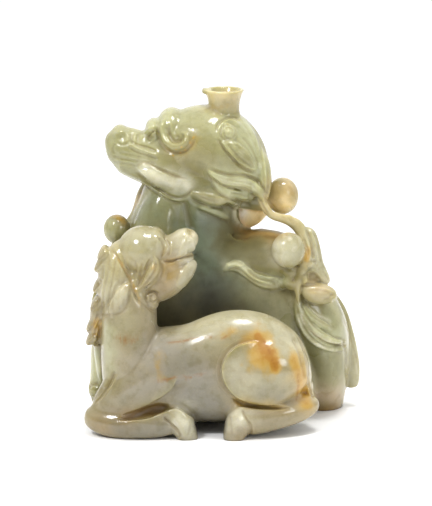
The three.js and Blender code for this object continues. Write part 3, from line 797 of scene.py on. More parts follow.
def cut(spots, kind, depth, width, pixels):
    """How far each spot moves out for one noted cut."""
    if kind == "dot":
        off = np.linalg.norm(spots - pixels[0], axis=1) * PIXEL
        return np.arange(len(spots)), depth * bell(off, width)
    if kind == "plate":
        closed = np.vstack([pixels, pixels[:1]])
        smooth = along_line(closed, np.linspace(0, 1, 8 * len(pixels)))
        held, off, _, _ = beside(spots, closed, width)
        return held, np.where(within(spots[held], smooth), depth * ease(off / width), 0)
    held, off, side, share = beside(spots, pixels, LINE_REACH * width)
    if kind == "ledge":
        inward = off * side
        rising = soft_step(inward, -LEDGE_RISE, LEDGE_RISE)
        return held, depth * tapered(share) * rising * np.exp(-np.maximum(inward, 0) / width)
    return held, depth * tapered(share) * bell(off, width)


def carve(dots, normals):
    """How far all noted cuts move each point, and how much of that is cut in."""
    push, groove = np.zeros(len(dots)), np.zeros(len(dots))
    near, far = views_of(dots, normals)
    for kind, depth, width, pixels, both in relief:
        for which, spots, facing in (near, far) if both else (near,):
            held, move = cut(spots, kind, depth, width, pixels)
            move = move * facing[held]
            push[which[held]] += move
            groove[which[held]] = np.maximum(groove[which[held]], -move)
    return push, groove


def normals_of(piece):
    flat = np.empty(len(piece.data.vertices) * 3, np.float32)
    piece.data.vertices.foreach_get("normal", flat)
    return flat.reshape(-1, 3).astype(float)


def spiral(middle, start, end, turns, turn_from=0.0):
    """A line of pixels that winds in about a middle."""
    shares = np.linspace(0, 1, int(turns * 12) + 1)
    angle = turn_from + shares * turns * math.tau
    reach = start + (end - start) * shares
    return np.column_stack([middle[0] + reach * np.cos(angle), middle[1] + reach * np.sin(angle)])


# %% [markdown]
# The face of the large beast is drawn with shallow lines: lips, nostril, folds over the nose, a narrow
# eye under its lid, the curl of the brow, the rings of the ear and the hair of the nape. Ridges are
# drawn beside the grooves, because a polished ridge catches the light and makes the line read.

# %% Lines of the large head
HEAD_LINES = [
    (-0.4, 0.45, [
        (136, 167), (141, 163.5), (148, 163.5), (156, 167.5), (166, 172), (178, 177), (191, 179),
    ]),
    (0.35, 0.4, [(142, 166), (150, 167), (160, 172), (172, 177.5), (186, 181)]),
    (-0.45, 0.45, [(134, 171), (146, 180), (157, 188), (168, 195), (179, 198), (188, 194), (193, 186)]),
    (0.3, 0.4, [(137, 177), (148, 185), (160, 193), (172, 199.5), (183, 201)]),
    (-0.4, 0.4, [(139, 181), (150, 188.5), (162, 196), (174, 202), (186, 203)]),
    (0.4, 0.42, [(127, 143), (137, 148.5), (147, 152), (159, 156.5)]),
    (-0.35, 0.4, [(130, 140.5), (139, 145), (149, 148), (158, 152)]),
    (-0.25, 0.4, [(128, 147), (138, 152.5), (149, 156), (160, 160)]),
    (-0.3, 0.36, [(112, 156), (122, 158.5), (135, 160.5), (147, 162), (159, 164.5)]),
    (-0.2, 0.36, [(116, 162.5), (126, 164), (137, 166.5)]),
    (-0.16, 0.34, [(118, 152), (132, 155), (146, 158.5)]),
    (0.3, 0.5, [(114, 139), (116.5, 134), (121.5, 132), (127, 135), (127.5, 140), (123, 143)]),
    (-0.2, 0.4, [(116, 142), (122, 145), (129, 143)]),
    (-0.25, 0.4, [(115, 143), (112.5, 148), (114, 154)]),
    (-0.25, 0.4, [(133, 133), (131.5, 138), (132.5, 143)]),
    (0.25, 0.4, [(136, 133), (134.5, 138), (135.5, 144)]),
    (-0.25, 0.4, [(139.5, 133), (138, 138), (139.5, 144)]),
    (-0.6, 0.42, [(147, 138.5), (149.5, 135), (152.5, 132), (156, 130)]),
    (-0.35, 0.4, [(148, 139.5), (151.5, 137), (154.5, 134)]),
    (0.35, 0.45, [(141, 140), (145.5, 133), (150, 128.5), (156, 126.5)]),
    (0.25, 0.42, [(147, 143), (152, 141.5), (156.5, 137.5), (158.5, 132)]),
    (-0.45, 0.5, [(170, 123), (169, 130), (170.5, 137), (174, 141), (179.5, 141), (182.5, 138)]),
    (-0.45, 0.5, [
        (158, 124), (158, 133), (160.5, 142), (167, 150), (177, 153), (187, 150.5), (193, 144), (194, 136),
    ]),
    (-0.12, 0.4, [(176, 122), (174.5, 129), (176, 135)]),
    (0.35, 0.5, [(219, 130), (222, 124), (229, 120.5), (236, 122.5), (240, 129)]),
    (-0.35, 0.45, [(216, 133), (218, 125), (225, 118.5), (234, 117.5), (242, 122)]),
    (-0.4, 0.5, [(216, 137), (222, 146), (229, 154.5), (237, 163), (246, 169.5), (258, 172.5)]),
    (0.55, 0.4, [(221, 140.5), (227, 148), (234, 156), (242, 163.5), (250, 168), (258, 169.5)]),
    (-0.3, 0.36, [(226, 142), (232, 149.5), (239, 157), (247, 163), (255, 167)]),
    (-0.2, 0.34, [(234, 142), (241, 150), (248, 158), (255, 165.5)]),
    (-0.28, 0.4, [(241, 136), (249, 145), (255, 156), (259.5, 169)]),
    (-0.3, 0.4, [(243, 114.5), (252, 125), (259, 139), (262, 156), (263.5, 176), (264, 192)]),
    (-0.3, 0.4, [(250, 119.5), (259, 133), (264, 148), (267, 164), (268, 182), (267.5, 198)]),
    (-0.2, 0.36, [(241, 121), (249, 132), (255, 145), (258.5, 160)]),
]
HEAD_DOTS = [
    (-0.25, 0.6, (120.5, 138)), (-0.4, 0.45, (153, 132.5)), (-0.4, 0.7, (177, 137)),
    (0.4, 0.8, (229, 132)),
]
EAR_MIDDLE = (229, 132.5)
for depth, width, pixels in HEAD_LINES:
    draw("line", depth, width, pixels, both=True)
for depth, width, place in HEAD_DOTS:
    draw("dot", depth, width, [place], both=True)
draw("line", -0.28, 0.36, spiral(EAR_MIDDLE, 9.5, 3.2, 2.1, 0.6), both=True)
print("cuts noted, with the head:", len(relief))

# %% [markdown]
# The cub's face is cut the same way: wrinkles behind the muzzle, full lips, a spiral at the corner of
# the jaw, an ear with a slot, and creases that fan out between the ear and the mane. Its haunch and
# shoulder end in a ledge, where one side of a line stands higher than the other.

# %% Lines of the cub
CUB_LINES = [
    (-0.26, 0.3, [(157, 236), (162, 242), (163.5, 250), (161, 258)]),
    (0.22, 0.3, [(160, 235.5), (165, 242), (166.5, 250), (164, 257.5)]),
    (-0.26, 0.3, [(163, 236), (168, 242.5), (169, 250), (167, 257)]),
    (0.22, 0.3, [(166.5, 237.5), (171, 243.5), (171.5, 250), (169.5, 256.5)]),
    (-0.6, 0.42, [(197.5, 254.8), (191, 255.6), (183, 257.5), (172, 261), (163, 261.5)]),
    (0.25, 0.5, [(192, 252), (184, 254.5), (174, 258), (165, 259)]),
    (-0.4, 0.4, [(156, 261), (155.5, 268), (151.5, 276), (145, 284.5), (139, 291)]),
    (0.35, 0.4, [(155, 257), (158.5, 262.5), (158.5, 270), (155, 278), (149, 286), (141, 292)]),
    (-0.26, 0.4, [(161, 262), (162.5, 269), (159.5, 279), (153, 287), (143, 294)]),
    (-0.4, 0.42, [(150.5, 258), (147, 266), (142.5, 276), (136.5, 289)]),
    (-0.3, 0.4, [(143, 262), (141, 271), (137.5, 281), (133.5, 292)]),
    (-0.22, 0.4, [(135, 260), (136, 271), (134, 282)]),
    (-0.22, 0.4, [(126, 264), (130.5, 274), (132.5, 286)]),
    (-0.4, 0.45, [(110, 247), (117, 257), (124, 268), (130, 279), (134, 291), (139, 305)]),
    (-0.3, 0.5, [(133, 291), (138, 299), (146, 306), (155, 312)]),
    (-0.2, 0.4, [(130, 280), (130, 291), (128, 302), (122, 312)]),
    (-0.2, 0.34, [(124, 281), (119.5, 291), (118.5, 303), (121, 311)]),
    (-0.2, 0.34, [(127.5, 282), (124.5, 294), (123, 306)]),
    (-0.22, 0.4, [(122, 279), (115, 288), (112.5, 299), (113, 311)]),
    (-0.25, 0.4, [(116, 257), (114, 272), (110.5, 288), (108, 309)]),
    (-0.25, 0.4, [(110, 255), (107.5, 273), (104, 291), (102, 310)]),
    (-0.25, 0.4, [(104, 264), (102, 280), (99, 296), (97, 311)]),
    (-0.35, 0.4, [(105, 253), (102, 256.5), (97.5, 259.5)]),
    (-0.4, 0.4, [(103, 261), (99, 265), (94.5, 270)]),
    (-0.4, 0.4, [(101, 278), (98, 285), (92.5, 291.5)]),
    (-0.4, 0.4, [(99, 298), (96, 304), (90.5, 310)]),
    (-0.4, 0.4, [(99, 312), (96, 320), (90, 330), (86, 333)]),
    (-0.3, 0.4, [(100, 318), (97, 328), (92, 340), (88, 345)]),
    (-0.3, 0.4, [(101, 324), (99, 336), (95, 348)]),
    (-0.26, 0.4, [(129, 306), (121, 312.5), (112, 314.5), (101, 314)]),
    (-0.6, 0.6, [(115, 370), (110, 382), (103, 393), (94, 404)]),
    (0.35, 0.5, [(118, 373), (113, 385), (105, 396), (98, 404)]),
    (-0.4, 0.5, [(104, 386), (98, 394), (90, 402)]),
    (-0.5, 0.45, [(163, 416), (170, 423), (177, 430), (181, 438)]),
    (0.35, 0.45, [(168, 412), (176, 419), (182, 428), (186, 437)]),
    (-0.25, 0.4, [(190, 420), (190, 428), (188, 437)]),
    (-0.45, 0.45, [(242, 409), (246, 418), (251, 427), (250, 437)]),
    (0.3, 0.45, [(234, 412), (240, 421), (245, 430), (246, 438)]),
    (-0.25, 0.4, [(229, 414), (231, 424), (232, 436)]),
    (-0.35, 0.36, [(297, 334), (303.5, 350), (307, 368), (309.5, 387), (315, 402)]),
    (-0.3, 0.4, [(291, 336), (298, 350), (302.5, 368), (304, 380)]),
    (0.35, 0.36, [(294, 334), (301, 350), (305, 368), (307, 386), (311.5, 401)]),
]
CHEEK_MIDDLE = (153, 297.5)
for depth, width, pixels in CUB_LINES:
    draw("line", depth, width, pixels)
draw("line", -0.35, 0.34, spiral(CHEEK_MIDDLE, 7.6, 2, 1.5, 1.8))
draw("line", 0.25, 0.34, spiral(CHEEK_MIDDLE, 5.6, 1, 1.3, 1.8))
UPPER_LIP = [
    (183, 239), (187, 233), (192, 234.5), (195.5, 242), (195.5, 250), (190, 253.5), (181, 256),
    (176, 256), (179.5, 247),
]
LOWER_LIP = [
    (194, 258.5), (197.5, 263), (196, 271), (191, 280), (185, 287), (179, 290), (175, 286), (177.5, 277),
    (182, 268), (187, 261.5),
]
FRONT_LOCK = [
    (126, 280), (120, 284), (116, 292), (115, 301), (118, 309), (124, 306), (128, 297), (130, 287),
]
UNDER_ARM = [
    (114, 421), (124, 415), (139, 408.5), (154, 403), (168, 403), (178, 408), (169, 411.5), (158, 416),
    (147, 419.5), (130, 421.5),
]
UNDER_HAUNCH = [
    (230, 398), (242, 399.5), (256, 401.5), (272, 404), (290, 407.5), (280, 410), (262, 410),
    (246, 408), (235, 405.5),
]
draw("plate", 0.5, 0.8, UPPER_LIP)
draw("plate", 0.6, 0.8, LOWER_LIP)
draw("plate", 0.25, 1, FRONT_LOCK)
draw("plate", -1.4, 1.5, UNDER_ARM)
draw("plate", -1.4, 1.2, UNDER_HAUNCH)
HAUNCH_EDGE = [
    (296, 409), (280, 406.5), (262, 404), (247, 401.5), (236, 397), (228, 389), (222.5, 378), (222, 366),
    (227, 355), (236, 346.5), (249, 342), (262, 341),
]
BESIDE_HAUNCH = HAUNCH_EDGE[:2:-1]
SHOULDER_EDGE = [(178, 374), (175, 384), (168, 392), (156, 399.5), (142, 406), (128, 412), (116, 419)]
FOREARM_EDGE = [
    (116, 422), (132, 420.5), (148, 419), (160, 414), (170, 410), (177, 409.5), (185, 414),
    (193, 419.5), (198, 426),
]
draw("ledge", 1.1, 3.2, HAUNCH_EDGE)
draw("ledge", -0.7, 2.6, BESIDE_HAUNCH)
draw("ledge", 0.9, 2.8, SHOULDER_EDGE)
draw("ledge", 0.8, 2, FOREARM_EDGE)
print("cuts noted, with the cub:", len(relief))

# %% [markdown]
# The mane locks, the leaves and the bud carry two or three lines each, cut along their length. Knots
# of the spray get small drilled hollows, and a deep crease parts the chest from the flank.

# %% Lines of the mane and the spray
SPRAY_LINES = [
    (-0.45, 0.45, [(206, 173.5), (213, 179.5), (221, 185), (232, 188), (245, 189), (254, 195), (259, 204)]),
    (-0.45, 0.45, [(208, 167), (218, 172), (230, 174.5), (244, 175), (255, 179), (264, 188), (269, 200)]),
    (-0.22, 0.3, [(213, 174), (224, 179), (238, 181), (250, 184), (259, 192)]),
    (0.2, 0.3, [(215, 173), (226, 176.5), (240, 178), (252, 181.5), (261, 190)]),
    (-0.2, 0.3, [(218, 180), (230, 184), (243, 185.5), (253, 190), (259, 198)]),
    (-0.45, 0.45, [(211, 184), (219, 193), (231, 199), (244, 202), (253, 208)]),
    (-0.22, 0.3, [(219, 186.5), (230, 191.5), (242, 194.5), (251, 198)]),
    (0.2, 0.3, [(217, 184.5), (228, 189.5), (240, 192), (250, 195)]),
    (-0.4, 0.45, [(226, 204), (235, 209), (243, 210)]),
    (-0.4, 0.45, [(189, 198), (199, 203), (211, 206.5), (223, 207), (232, 203)]),
    (-0.15, 0.3, [(198, 196), (208, 200), (220, 201)]),
    (-0.35, 0.4, [(197, 211), (208, 214), (220, 219), (230, 222)]),
    (-0.5, 0.45, [(258, 199), (263, 207), (269, 217)]),
    (-0.35, 0.4, [(263, 193), (269, 203), (277, 211), (289, 215)]),
    (0.3, 0.4, [(273, 212), (283, 215.5), (294, 216.5)]),
    (-0.6, 1, [(184, 199), (187, 212), (190, 226), (191, 240)]),
    (0.5, 0.36, [(244, 204), (236, 209), (235, 216), (239, 223), (246, 227.5), (254, 229)]),
    (0.7, 0.34, [(229, 233), (231, 237.5), (236, 240.5), (244, 241)]),
    (-0.4, 0.45, [(232, 233), (236, 237.5), (243, 238), (250, 237)]),
    (-0.35, 0.36, [(225, 269.5), (235, 268.5), (243, 273), (252, 280.5), (263, 285), (276, 286)]),
    (0.35, 0.32, [(226, 266.5), (236, 265), (244, 269.5), (252, 276.5), (262, 281.5), (276, 283)]),
    (-0.3, 0.32, [(226, 263.5), (236, 262), (244, 266)]),
    (-0.35, 0.36, [(246, 268.5), (254, 275.5), (264, 280), (278, 281)]),
    (0.3, 0.3, [(248, 267.5), (256, 273.5), (266, 277), (280, 277.5)]),
    (-0.3, 0.34, [(296, 300), (298.5, 315), (304, 328), (313, 339), (325, 346), (340, 347)]),
    (0.36, 0.3, [(299.5, 304), (302.5, 316), (309, 328.5), (319, 337.5), (331, 342), (345, 343)]),
    (-0.34, 0.34, [(300, 309), (304.5, 321), (312, 332), (323, 340.5), (336, 344.5), (345, 345)]),
    (0.36, 0.3, [(302, 302), (306, 312), (313, 321), (323, 328), (333, 330)]),
    (-0.34, 0.34, [(302, 305), (306, 316), (313, 326), (323, 333), (335, 337.5), (345, 339)]),
    (0.3, 0.3, [(297.5, 316), (302, 329), (311, 341), (323, 348), (336, 350)]),
    (-0.3, 0.34, [(304, 304), (310, 313.5), (318, 320.5), (328, 325.5), (336, 328)]),
    (0.3, 0.3, [(305, 302), (312, 310.5), (320, 316.5), (330, 321)]),
    (-0.25, 0.4, [(303, 287), (313, 284.5), (325, 286), (335, 291)]),
    (-0.2, 0.4, [(306, 292), (316, 290), (328, 292.5), (336, 297)]),
    (-0.25, 0.4, [(322, 300), (329, 297.5), (334, 293)]),
    (-0.3, 0.36, [(306, 229), (310, 238), (312, 248), (314, 260), (320, 271)]),
    (0.3, 0.32, [(309, 228), (313.5, 238), (316, 250), (318, 262)]),
    (-0.25, 0.34, [(312, 231), (317, 241), (319, 253), (321, 264)]),
    (-0.3, 0.36, [(303, 238), (307, 247), (308.5, 257)]),
    (-0.3, 0.36, [(322, 270), (328, 279), (333, 287)]),
    (-0.25, 0.36, [(342, 316), (348, 331), (353, 346), (357, 362), (359, 376)]),
    (-0.4, 0.5, [(342, 338), (345.5, 350), (346.5, 364), (347, 380)]),
    (-0.5, 0.5, [(88, 388), (93, 384), (99, 384)]),
]
SPRAY_DOTS = [
    (-0.7, 0.45, (293, 280)), (0.5, 0.6, (305, 281)), (0.5, 0.6, (311, 264)), (-0.3, 0.5, (308.5, 250.5)),
    (0.5, 0.6, (306, 268)), (0.45, 0.5, (334, 297)), (0.4, 0.5, (331, 301)), (-0.4, 0.45, (286, 235)),
]
GREEN_HOLLOW = [(307, 272), (313, 270.5), (318, 273), (320.5, 280), (315, 283), (308.5, 282)]
LEAF_CURL = [(226, 262), (234, 259.5), (241, 260.5), (246, 265), (242, 268), (234, 267.5), (226, 269)]
for depth, width, pixels in SPRAY_LINES:
    draw("line", depth, width, pixels)
for depth, width, place in SPRAY_DOTS:
    draw("dot", depth, width, [place])
draw("plate", -1, 0.8, GREEN_HOLLOW)
draw("plate", 0.5, 0.7, LEAF_CURL)
print("cuts noted, with the spray:", len(relief))

# %% [markdown]
# All the noted cuts are now made at once, so their order does not matter, and where two of them cross
# their depths add up. A displace modifier with a painted texture could do this too, but it would need a
# texture for each view. Points on the underside are held at the ground, so the group stands flat.

# %% Cut the lines
ON_GROUND = 0.01
dots, normals = points_of(stone), normals_of(stone)
push, _ = carve(dots, normals)
dots = dots + normals * push[:, None]
dots[:, 2] = np.where(points_of(stone)[:, 2] < ON_GROUND, 0, np.maximum(dots[:, 2], 0))
move_points(stone, dots)
print("cuts:", len(relief), "deepest", round(push.min(), 2), "mm, highest", round(push.max(), 2), "mm")

# %% [markdown]
# A dense mesh holds the fine lines, but flat stretches do not need it. Decimate gives up faces where
# the surface is smooth and keeps them in the cuts.

# %% Keep to a good number of faces
FACE_LIMIT = 190000
use(stone, "Triangles", "TRIANGULATE")
use(stone, "Fewer faces", "DECIMATE", ratio=min(1.0, FACE_LIMIT / len(stone.data.polygons)))
pick([stone])
bpy.ops.object.shade_smooth()
print("stone", len(stone.data.polygons), "triangles")

# %% [markdown]
# The colour of jade drifts through the stone: pale green on the large head, dark blue-green on the
# flank, greyish beige on the cub, with honey and russet where iron has seeped in. Vertex paint suits
# such soft drifts, so the stone is painted with dabs from a small palette, and waves keep the dabs
# from being round. Sharp veins, mottling and the edges of the russet come later, from the material.

# %% Mix the palette
# Besides the stone's own colours, the palette holds a near-black for painted shade, a bright honey for
# painted glow and a near-white for painted highlights; white, milk, dark olive and amber also paint light
# or shade in some places.
PALETTE = {
    "celadon": (0.27, 0.26, 0.122), "pale green": (0.40, 0.41, 0.24), "olive": (0.21, 0.18, 0.06),
    "blue green": (0.13, 0.16, 0.10), "dark olive": (0.085, 0.072, 0.02), "painted shade black": (0.016, 0.012, 0.002),
    "beige": (0.28, 0.24, 0.14), "milk": (0.43, 0.41, 0.27), "white": (0.60, 0.58, 0.44),
    "grey": (0.22, 0.205, 0.16), "cream": (0.50, 0.43, 0.24), "straw": (0.36, 0.31, 0.15),
    "tan": (0.26, 0.19, 0.085), "honey": (0.52, 0.35, 0.10), "pink": (0.46, 0.36, 0.24),
    "amber": (0.28, 0.16, 0.03), "brown": (0.17, 0.085, 0.014),
    "honey with painted glow": (0.92, 0.74, 0.38), "painted highlight white": (0.95, 0.92, 0.80),
}
dots, normals = points_of(stone), normals_of(stone)
_, groove = carve(dots, normals)
(near, near_spots, _), _ = views_of(dots, normals)
paint = np.tile(PALETTE["celadon"], (len(dots), 1))
rust = np.zeros(len(dots))
dull = np.zeros(len(dots))
x, y, z = dots.T
WAVY = 0.4
waves_across = np.sin(0.8 * x + 1.4 * np.sin(0.5 * z + 1))
waves_up = np.sin(0.7 * z + 1.2 * np.sin(0.6 * y + 0.4 * x))
ragged = 1 + WAVY * waves_across * waves_up


def seat(place):
    """A place on the stone: as given, or where a pixel of the picture falls."""
    if len(place) == 3:
        return np.array(place, float)
    return dots[near[((near_spots - place) ** 2).sum(axis=1).argmin()]]


def nearness(places, radius):
    """How close each point is to a place or a run of places, from 1 down to 0."""
    if len(places) > 1:
        places = along_line(places, np.linspace(0, 1, 4 * len(places)))
    off = np.full(len(dots), np.inf)
    for place in places:
        off = np.minimum(off, ((dots - seat(place)) ** 2).sum(axis=1))
    return np.exp(-off * ragged / radius ** 2)


def tint(colour, strength, weight):
    paint[:] += (strength * weight)[:, None] * (np.array(PALETTE[colour]) - paint)


print("palette:", len(PALETTE), "colours for", len(dots), "points")

# %% [markdown]
# The large beast is painted first. Its lower half is more olive than its head. The flank behind the
# cub turns dark blue-green, and the hollow between the two beasts gets painted shade, nearly black.
# The back under the gap gets a painted shadow of the stem, and the edge of the jaw plate and the edge
# of the cub's neck get painted highlights. Some places have less gloss, because the polisher's stick
# could not get in there.

# %% Paint the large beast
LARGE_DABS = [
    ("olive", 0.5, 8, [(200, 150), (205, 165)]),
    ("olive", 0.5, 5, [(180, 165), (192, 172)]),
    ("dark olive", 0.3, 5, [(198, 186), (204, 190)]),
    ("pale green", 0.2, 6, [(175, 113), (195, 112), (215, 116)]),
    ("pale green", 0.4, 5, [(150, 124), (163, 122)]),
    # The jaw plate is pale, and this white dab also paints the highlight along its upper edge.
    ("white", 0.9, 2.6, [(143, 168), (155, 175), (170, 182), (184, 184)]),
    ("pale green", 0.5, 5, [(226, 130), (234, 134)]),
    ("pale green", 0.85, 4, [(248, 125), (256, 145), (262, 170)]),
    ("pale green", 0.25, 6, [(116, 150), (126, 161)]),
    ("blue green", 0.5, 5, [(140, 215), (150, 207)]),
    ("olive", 0.35, 8, [(155, 225), (165, 212), (175, 225)]),
    ("blue green", 0.25, 7, [(150, 222), (165, 212), (175, 225)]),
    ("blue green", 0.95, 10, [(203, 228), (204, 246), (208, 270)]),
    ("blue green", 0.5, 6, [(222, 285), (240, 288)]),
    ("dark olive", 0.85, 5, [(226, 214), (232, 222), (236, 228)]),
    ("olive", 0.5, 6, [(255, 258), (268, 262)]),
    # Painted shadow: the stem and the gap shade the top of the back below them, so it is painted dark
    # olive.
    ("dark olive", 0.8, 5, [(232, 240), (246, 242), (258, 244)]),
    ("dark olive", 0.55, 5.5, [(230, 250), (244, 250), (258, 251)]),
    # Painted shade: the hollow between the two beasts is painted nearly black at the left, fading to dark
    # olive and celadon towards the right.
    ("painted shade black", 0.72, 9, [(170, 316), (185, 305), (205, 304)]),
    ("painted shade black", 0.66, 7, [(215, 300), (230, 303), (240, 305)]),
    ("painted shade black", 0.4, 5, [(250, 306), (262, 306)]),
    ("dark olive", 0.2, 5, [(262, 298), (285, 302), (295, 322)]),
    ("celadon", 0.45, 6, [(258, 298), (275, 302), (290, 312)]),
    # Painted shade in amber: the top of the back under the gap, seen edge-on, lies in shade.
    ("amber", 0.85, 3.4, [(246, 231), (262, 233), (280, 236)]),
    ("amber", 0.9, 4.6, [(12.0, 8.0, 56.0), (18.0, 8.0, 54.0)]),
    ("pale green", 0.5, 7, [(330, 312), (338, 330), (320, 350)]),
    ("olive", 0.4, 5, [(310, 360), (318, 372)]),
    ("celadon", 0.6, 6, [(330, 365), (340, 380)]),
    ("pink", 0.75, 5, [(322, 396), (340, 400)]),
    ("dark olive", 0.3, 4, [(310, 350), (312, 372)]),
    ("amber", 0.75, 2.6, [(318, 411), (330, 412)]),
    ("milk", 0.85, 5, [(348, 335), (353, 355), (356, 378)]),
    ("pale green", 0.7, 5, [(95, 355), (95, 370)]),
    # Painted highlight: a thin bright line down the left edge of the cub's neck.
    ("milk", 0.8, 1.6, [(103, 345), (104, 362), (105, 380)]),
    ("cream", 0.9, 3.6, [(212, 98), (224, 97), (238, 98)]),
    ("straw", 0.6, 2, [(210, 107), (225, 109), (238, 108)]),
    ("olive", 0.4, 1.4, [(201.5, 90.5)]),
    ("straw", 0.3, 2.4, [(166, 153), (180, 155), (190, 148)]),
]
LESS_GLOSS = [
    (2.2, 8, [(232, 244), (248, 242), (264, 240)]),
    (1.4, 6, [(228, 228), (238, 218)]),
    (1.7, 9, [(170, 316), (190, 310), (215, 300), (240, 305)]),
    (1.0, 6, [(252, 306), (268, 306)]),
    (1.2, 7, [(205, 280), (230, 286)]),
    (0.6, 7, [(205, 235), (208, 262)]),
    (0.5, 6, [(320, 365), (325, 385)]),
    (0.5, 6, [(200, 155), (190, 170)]),
]
OLIVE_FROM, OLIVE_BELOW = 72, 46
tint("olive", 0.6, soft_step(dots[:, 2], OLIVE_FROM, OLIVE_BELOW))
for colour, strength, radius, places in LARGE_DABS:
    tint(colour, strength, nearness(places, radius))
for strength, radius, places in LESS_GLOSS:
    dull = np.maximum(dull, strength * nearness(places, radius))
print("dabs on the large one:", len(LARGE_DABS), "points with less gloss:", int((dull > 0.5).sum()))

# %% [markdown]
# The cub is greyer and paler. Its dabs are held to its own forms, so they don't run over onto the
# flank behind it. Its lips, its front lock and its tail get painted highlights, and the hollow under
# its belly gets painted shade. The fruit, the stem and the wall of the gap are thin, so light shines
# through them and they get clearer colours; the wall and one fruit also get a painted glow, and the
# wall a painted highlight. The rim of the gap and some leaves get painted highlights, and a mane lock
# a painted sheen. Below its head, the side of the cub that faces the large one gets painted shade,
# like the hollow that it borders. On the far side of the group a few broad dabs are enough.

# %% Paint the cub, the spray and the far side
CUB_REACH, WALL_REACH = 1.4, 1.0


def on_forms(zone, reach):
    """1 for points of the stone that lie on the forms of a zone, down to 0 at the reach."""
    gaps = [zone.find_nearest(Vector(dot), reach)[3] for dot in dots]
    return ease(1 - np.array([reach if gap is None else gap for gap in gaps]) / reach)


CUB_DABS = [
    ("pale green", 0.35, 8, [(128, 246), (142, 238), (150, 250)]),
    ("milk", 0.2, 6, [(140, 233), (156, 234)]),
    ("grey", 0.25, 6, [(140, 370), (130, 385)]),
    # The cub's lips are pale, and these two white dabs also paint the highlights on their facets.
    ("white", 0.9, 3.4, [(189, 234), (192, 244), (186, 250)]),
    ("white", 0.8, 2.8, [(190, 265), (186, 273), (181, 283)]),
    ("tan", 0.8, 4, [(170, 267), (169, 280), (164, 289)]),
    ("honey", 0.25, 3, [(171, 264), (170, 276)]),
    ("straw", 0.7, 3, [(140, 272), (147, 268), (137, 284)]),
    ("straw", 0.5, 4, [(112, 262), (118, 275), (110, 285)]),
    ("tan", 0.25, 4, [(150, 320), (145, 345)]),
    ("straw", 0.6, 3, [(108, 246), (115, 250), (121, 258)]),
    ("milk", 0.5, 4, [(107, 270), (106, 295)]),
    # Painted highlight on the cub's front lock.
    ("white", 0.5, 2.6, [(120, 290), (119, 300)]),
    ("milk", 0.7, 8, [(200, 325), (235, 316), (265, 320), (292, 345)]),
    ("milk", 0.7, 5, [(232, 362), (228, 378), (240, 393)]),
    ("milk", 0.5, 5, [(262, 385), (285, 385)]),
    ("grey", 0.8, 7, [(160, 350), (185, 365), (205, 375)]),
    ("grey", 0.9, 6, [(190, 395), (210, 405), (205, 415)]),
    ("grey", 0.5, 6, [(150, 390), (130, 400)]),
    ("grey", 0.5, 4, [(260, 396), (280, 399)]),
    ("pale green", 0.6, 3, [(110, 322), (108, 350), (108, 370)]),
    ("olive", 0.5, 5, [(92, 402), (100, 392), (108, 382)]),
    ("tan", 0.7, 5, [(100, 428), (118, 430)]),
    ("milk", 0.3, 6, [(122, 325), (120, 345)]),
    ("grey", 0.75, 4, [(122, 428), (140, 430), (165, 430)]),
    ("dark olive", 0.22, 4, [(122, 428), (140, 429), (158, 430)]),
    ("white", 0.95, 3.4, [(182, 418), (190, 428)]),
    ("white", 0.8, 3.4, [(232, 425), (240, 420)]),
    ("tan", 0.5, 3, [(238, 436), (248, 434)]),
    ("honey", 0.6, 4, [(300, 370), (303, 390), (306, 402)]),
    # Painted highlight along the strands of the cub's tail.
    ("white", 0.6, 1.4, [(309, 362), (311, 380), (315, 398)]),
]
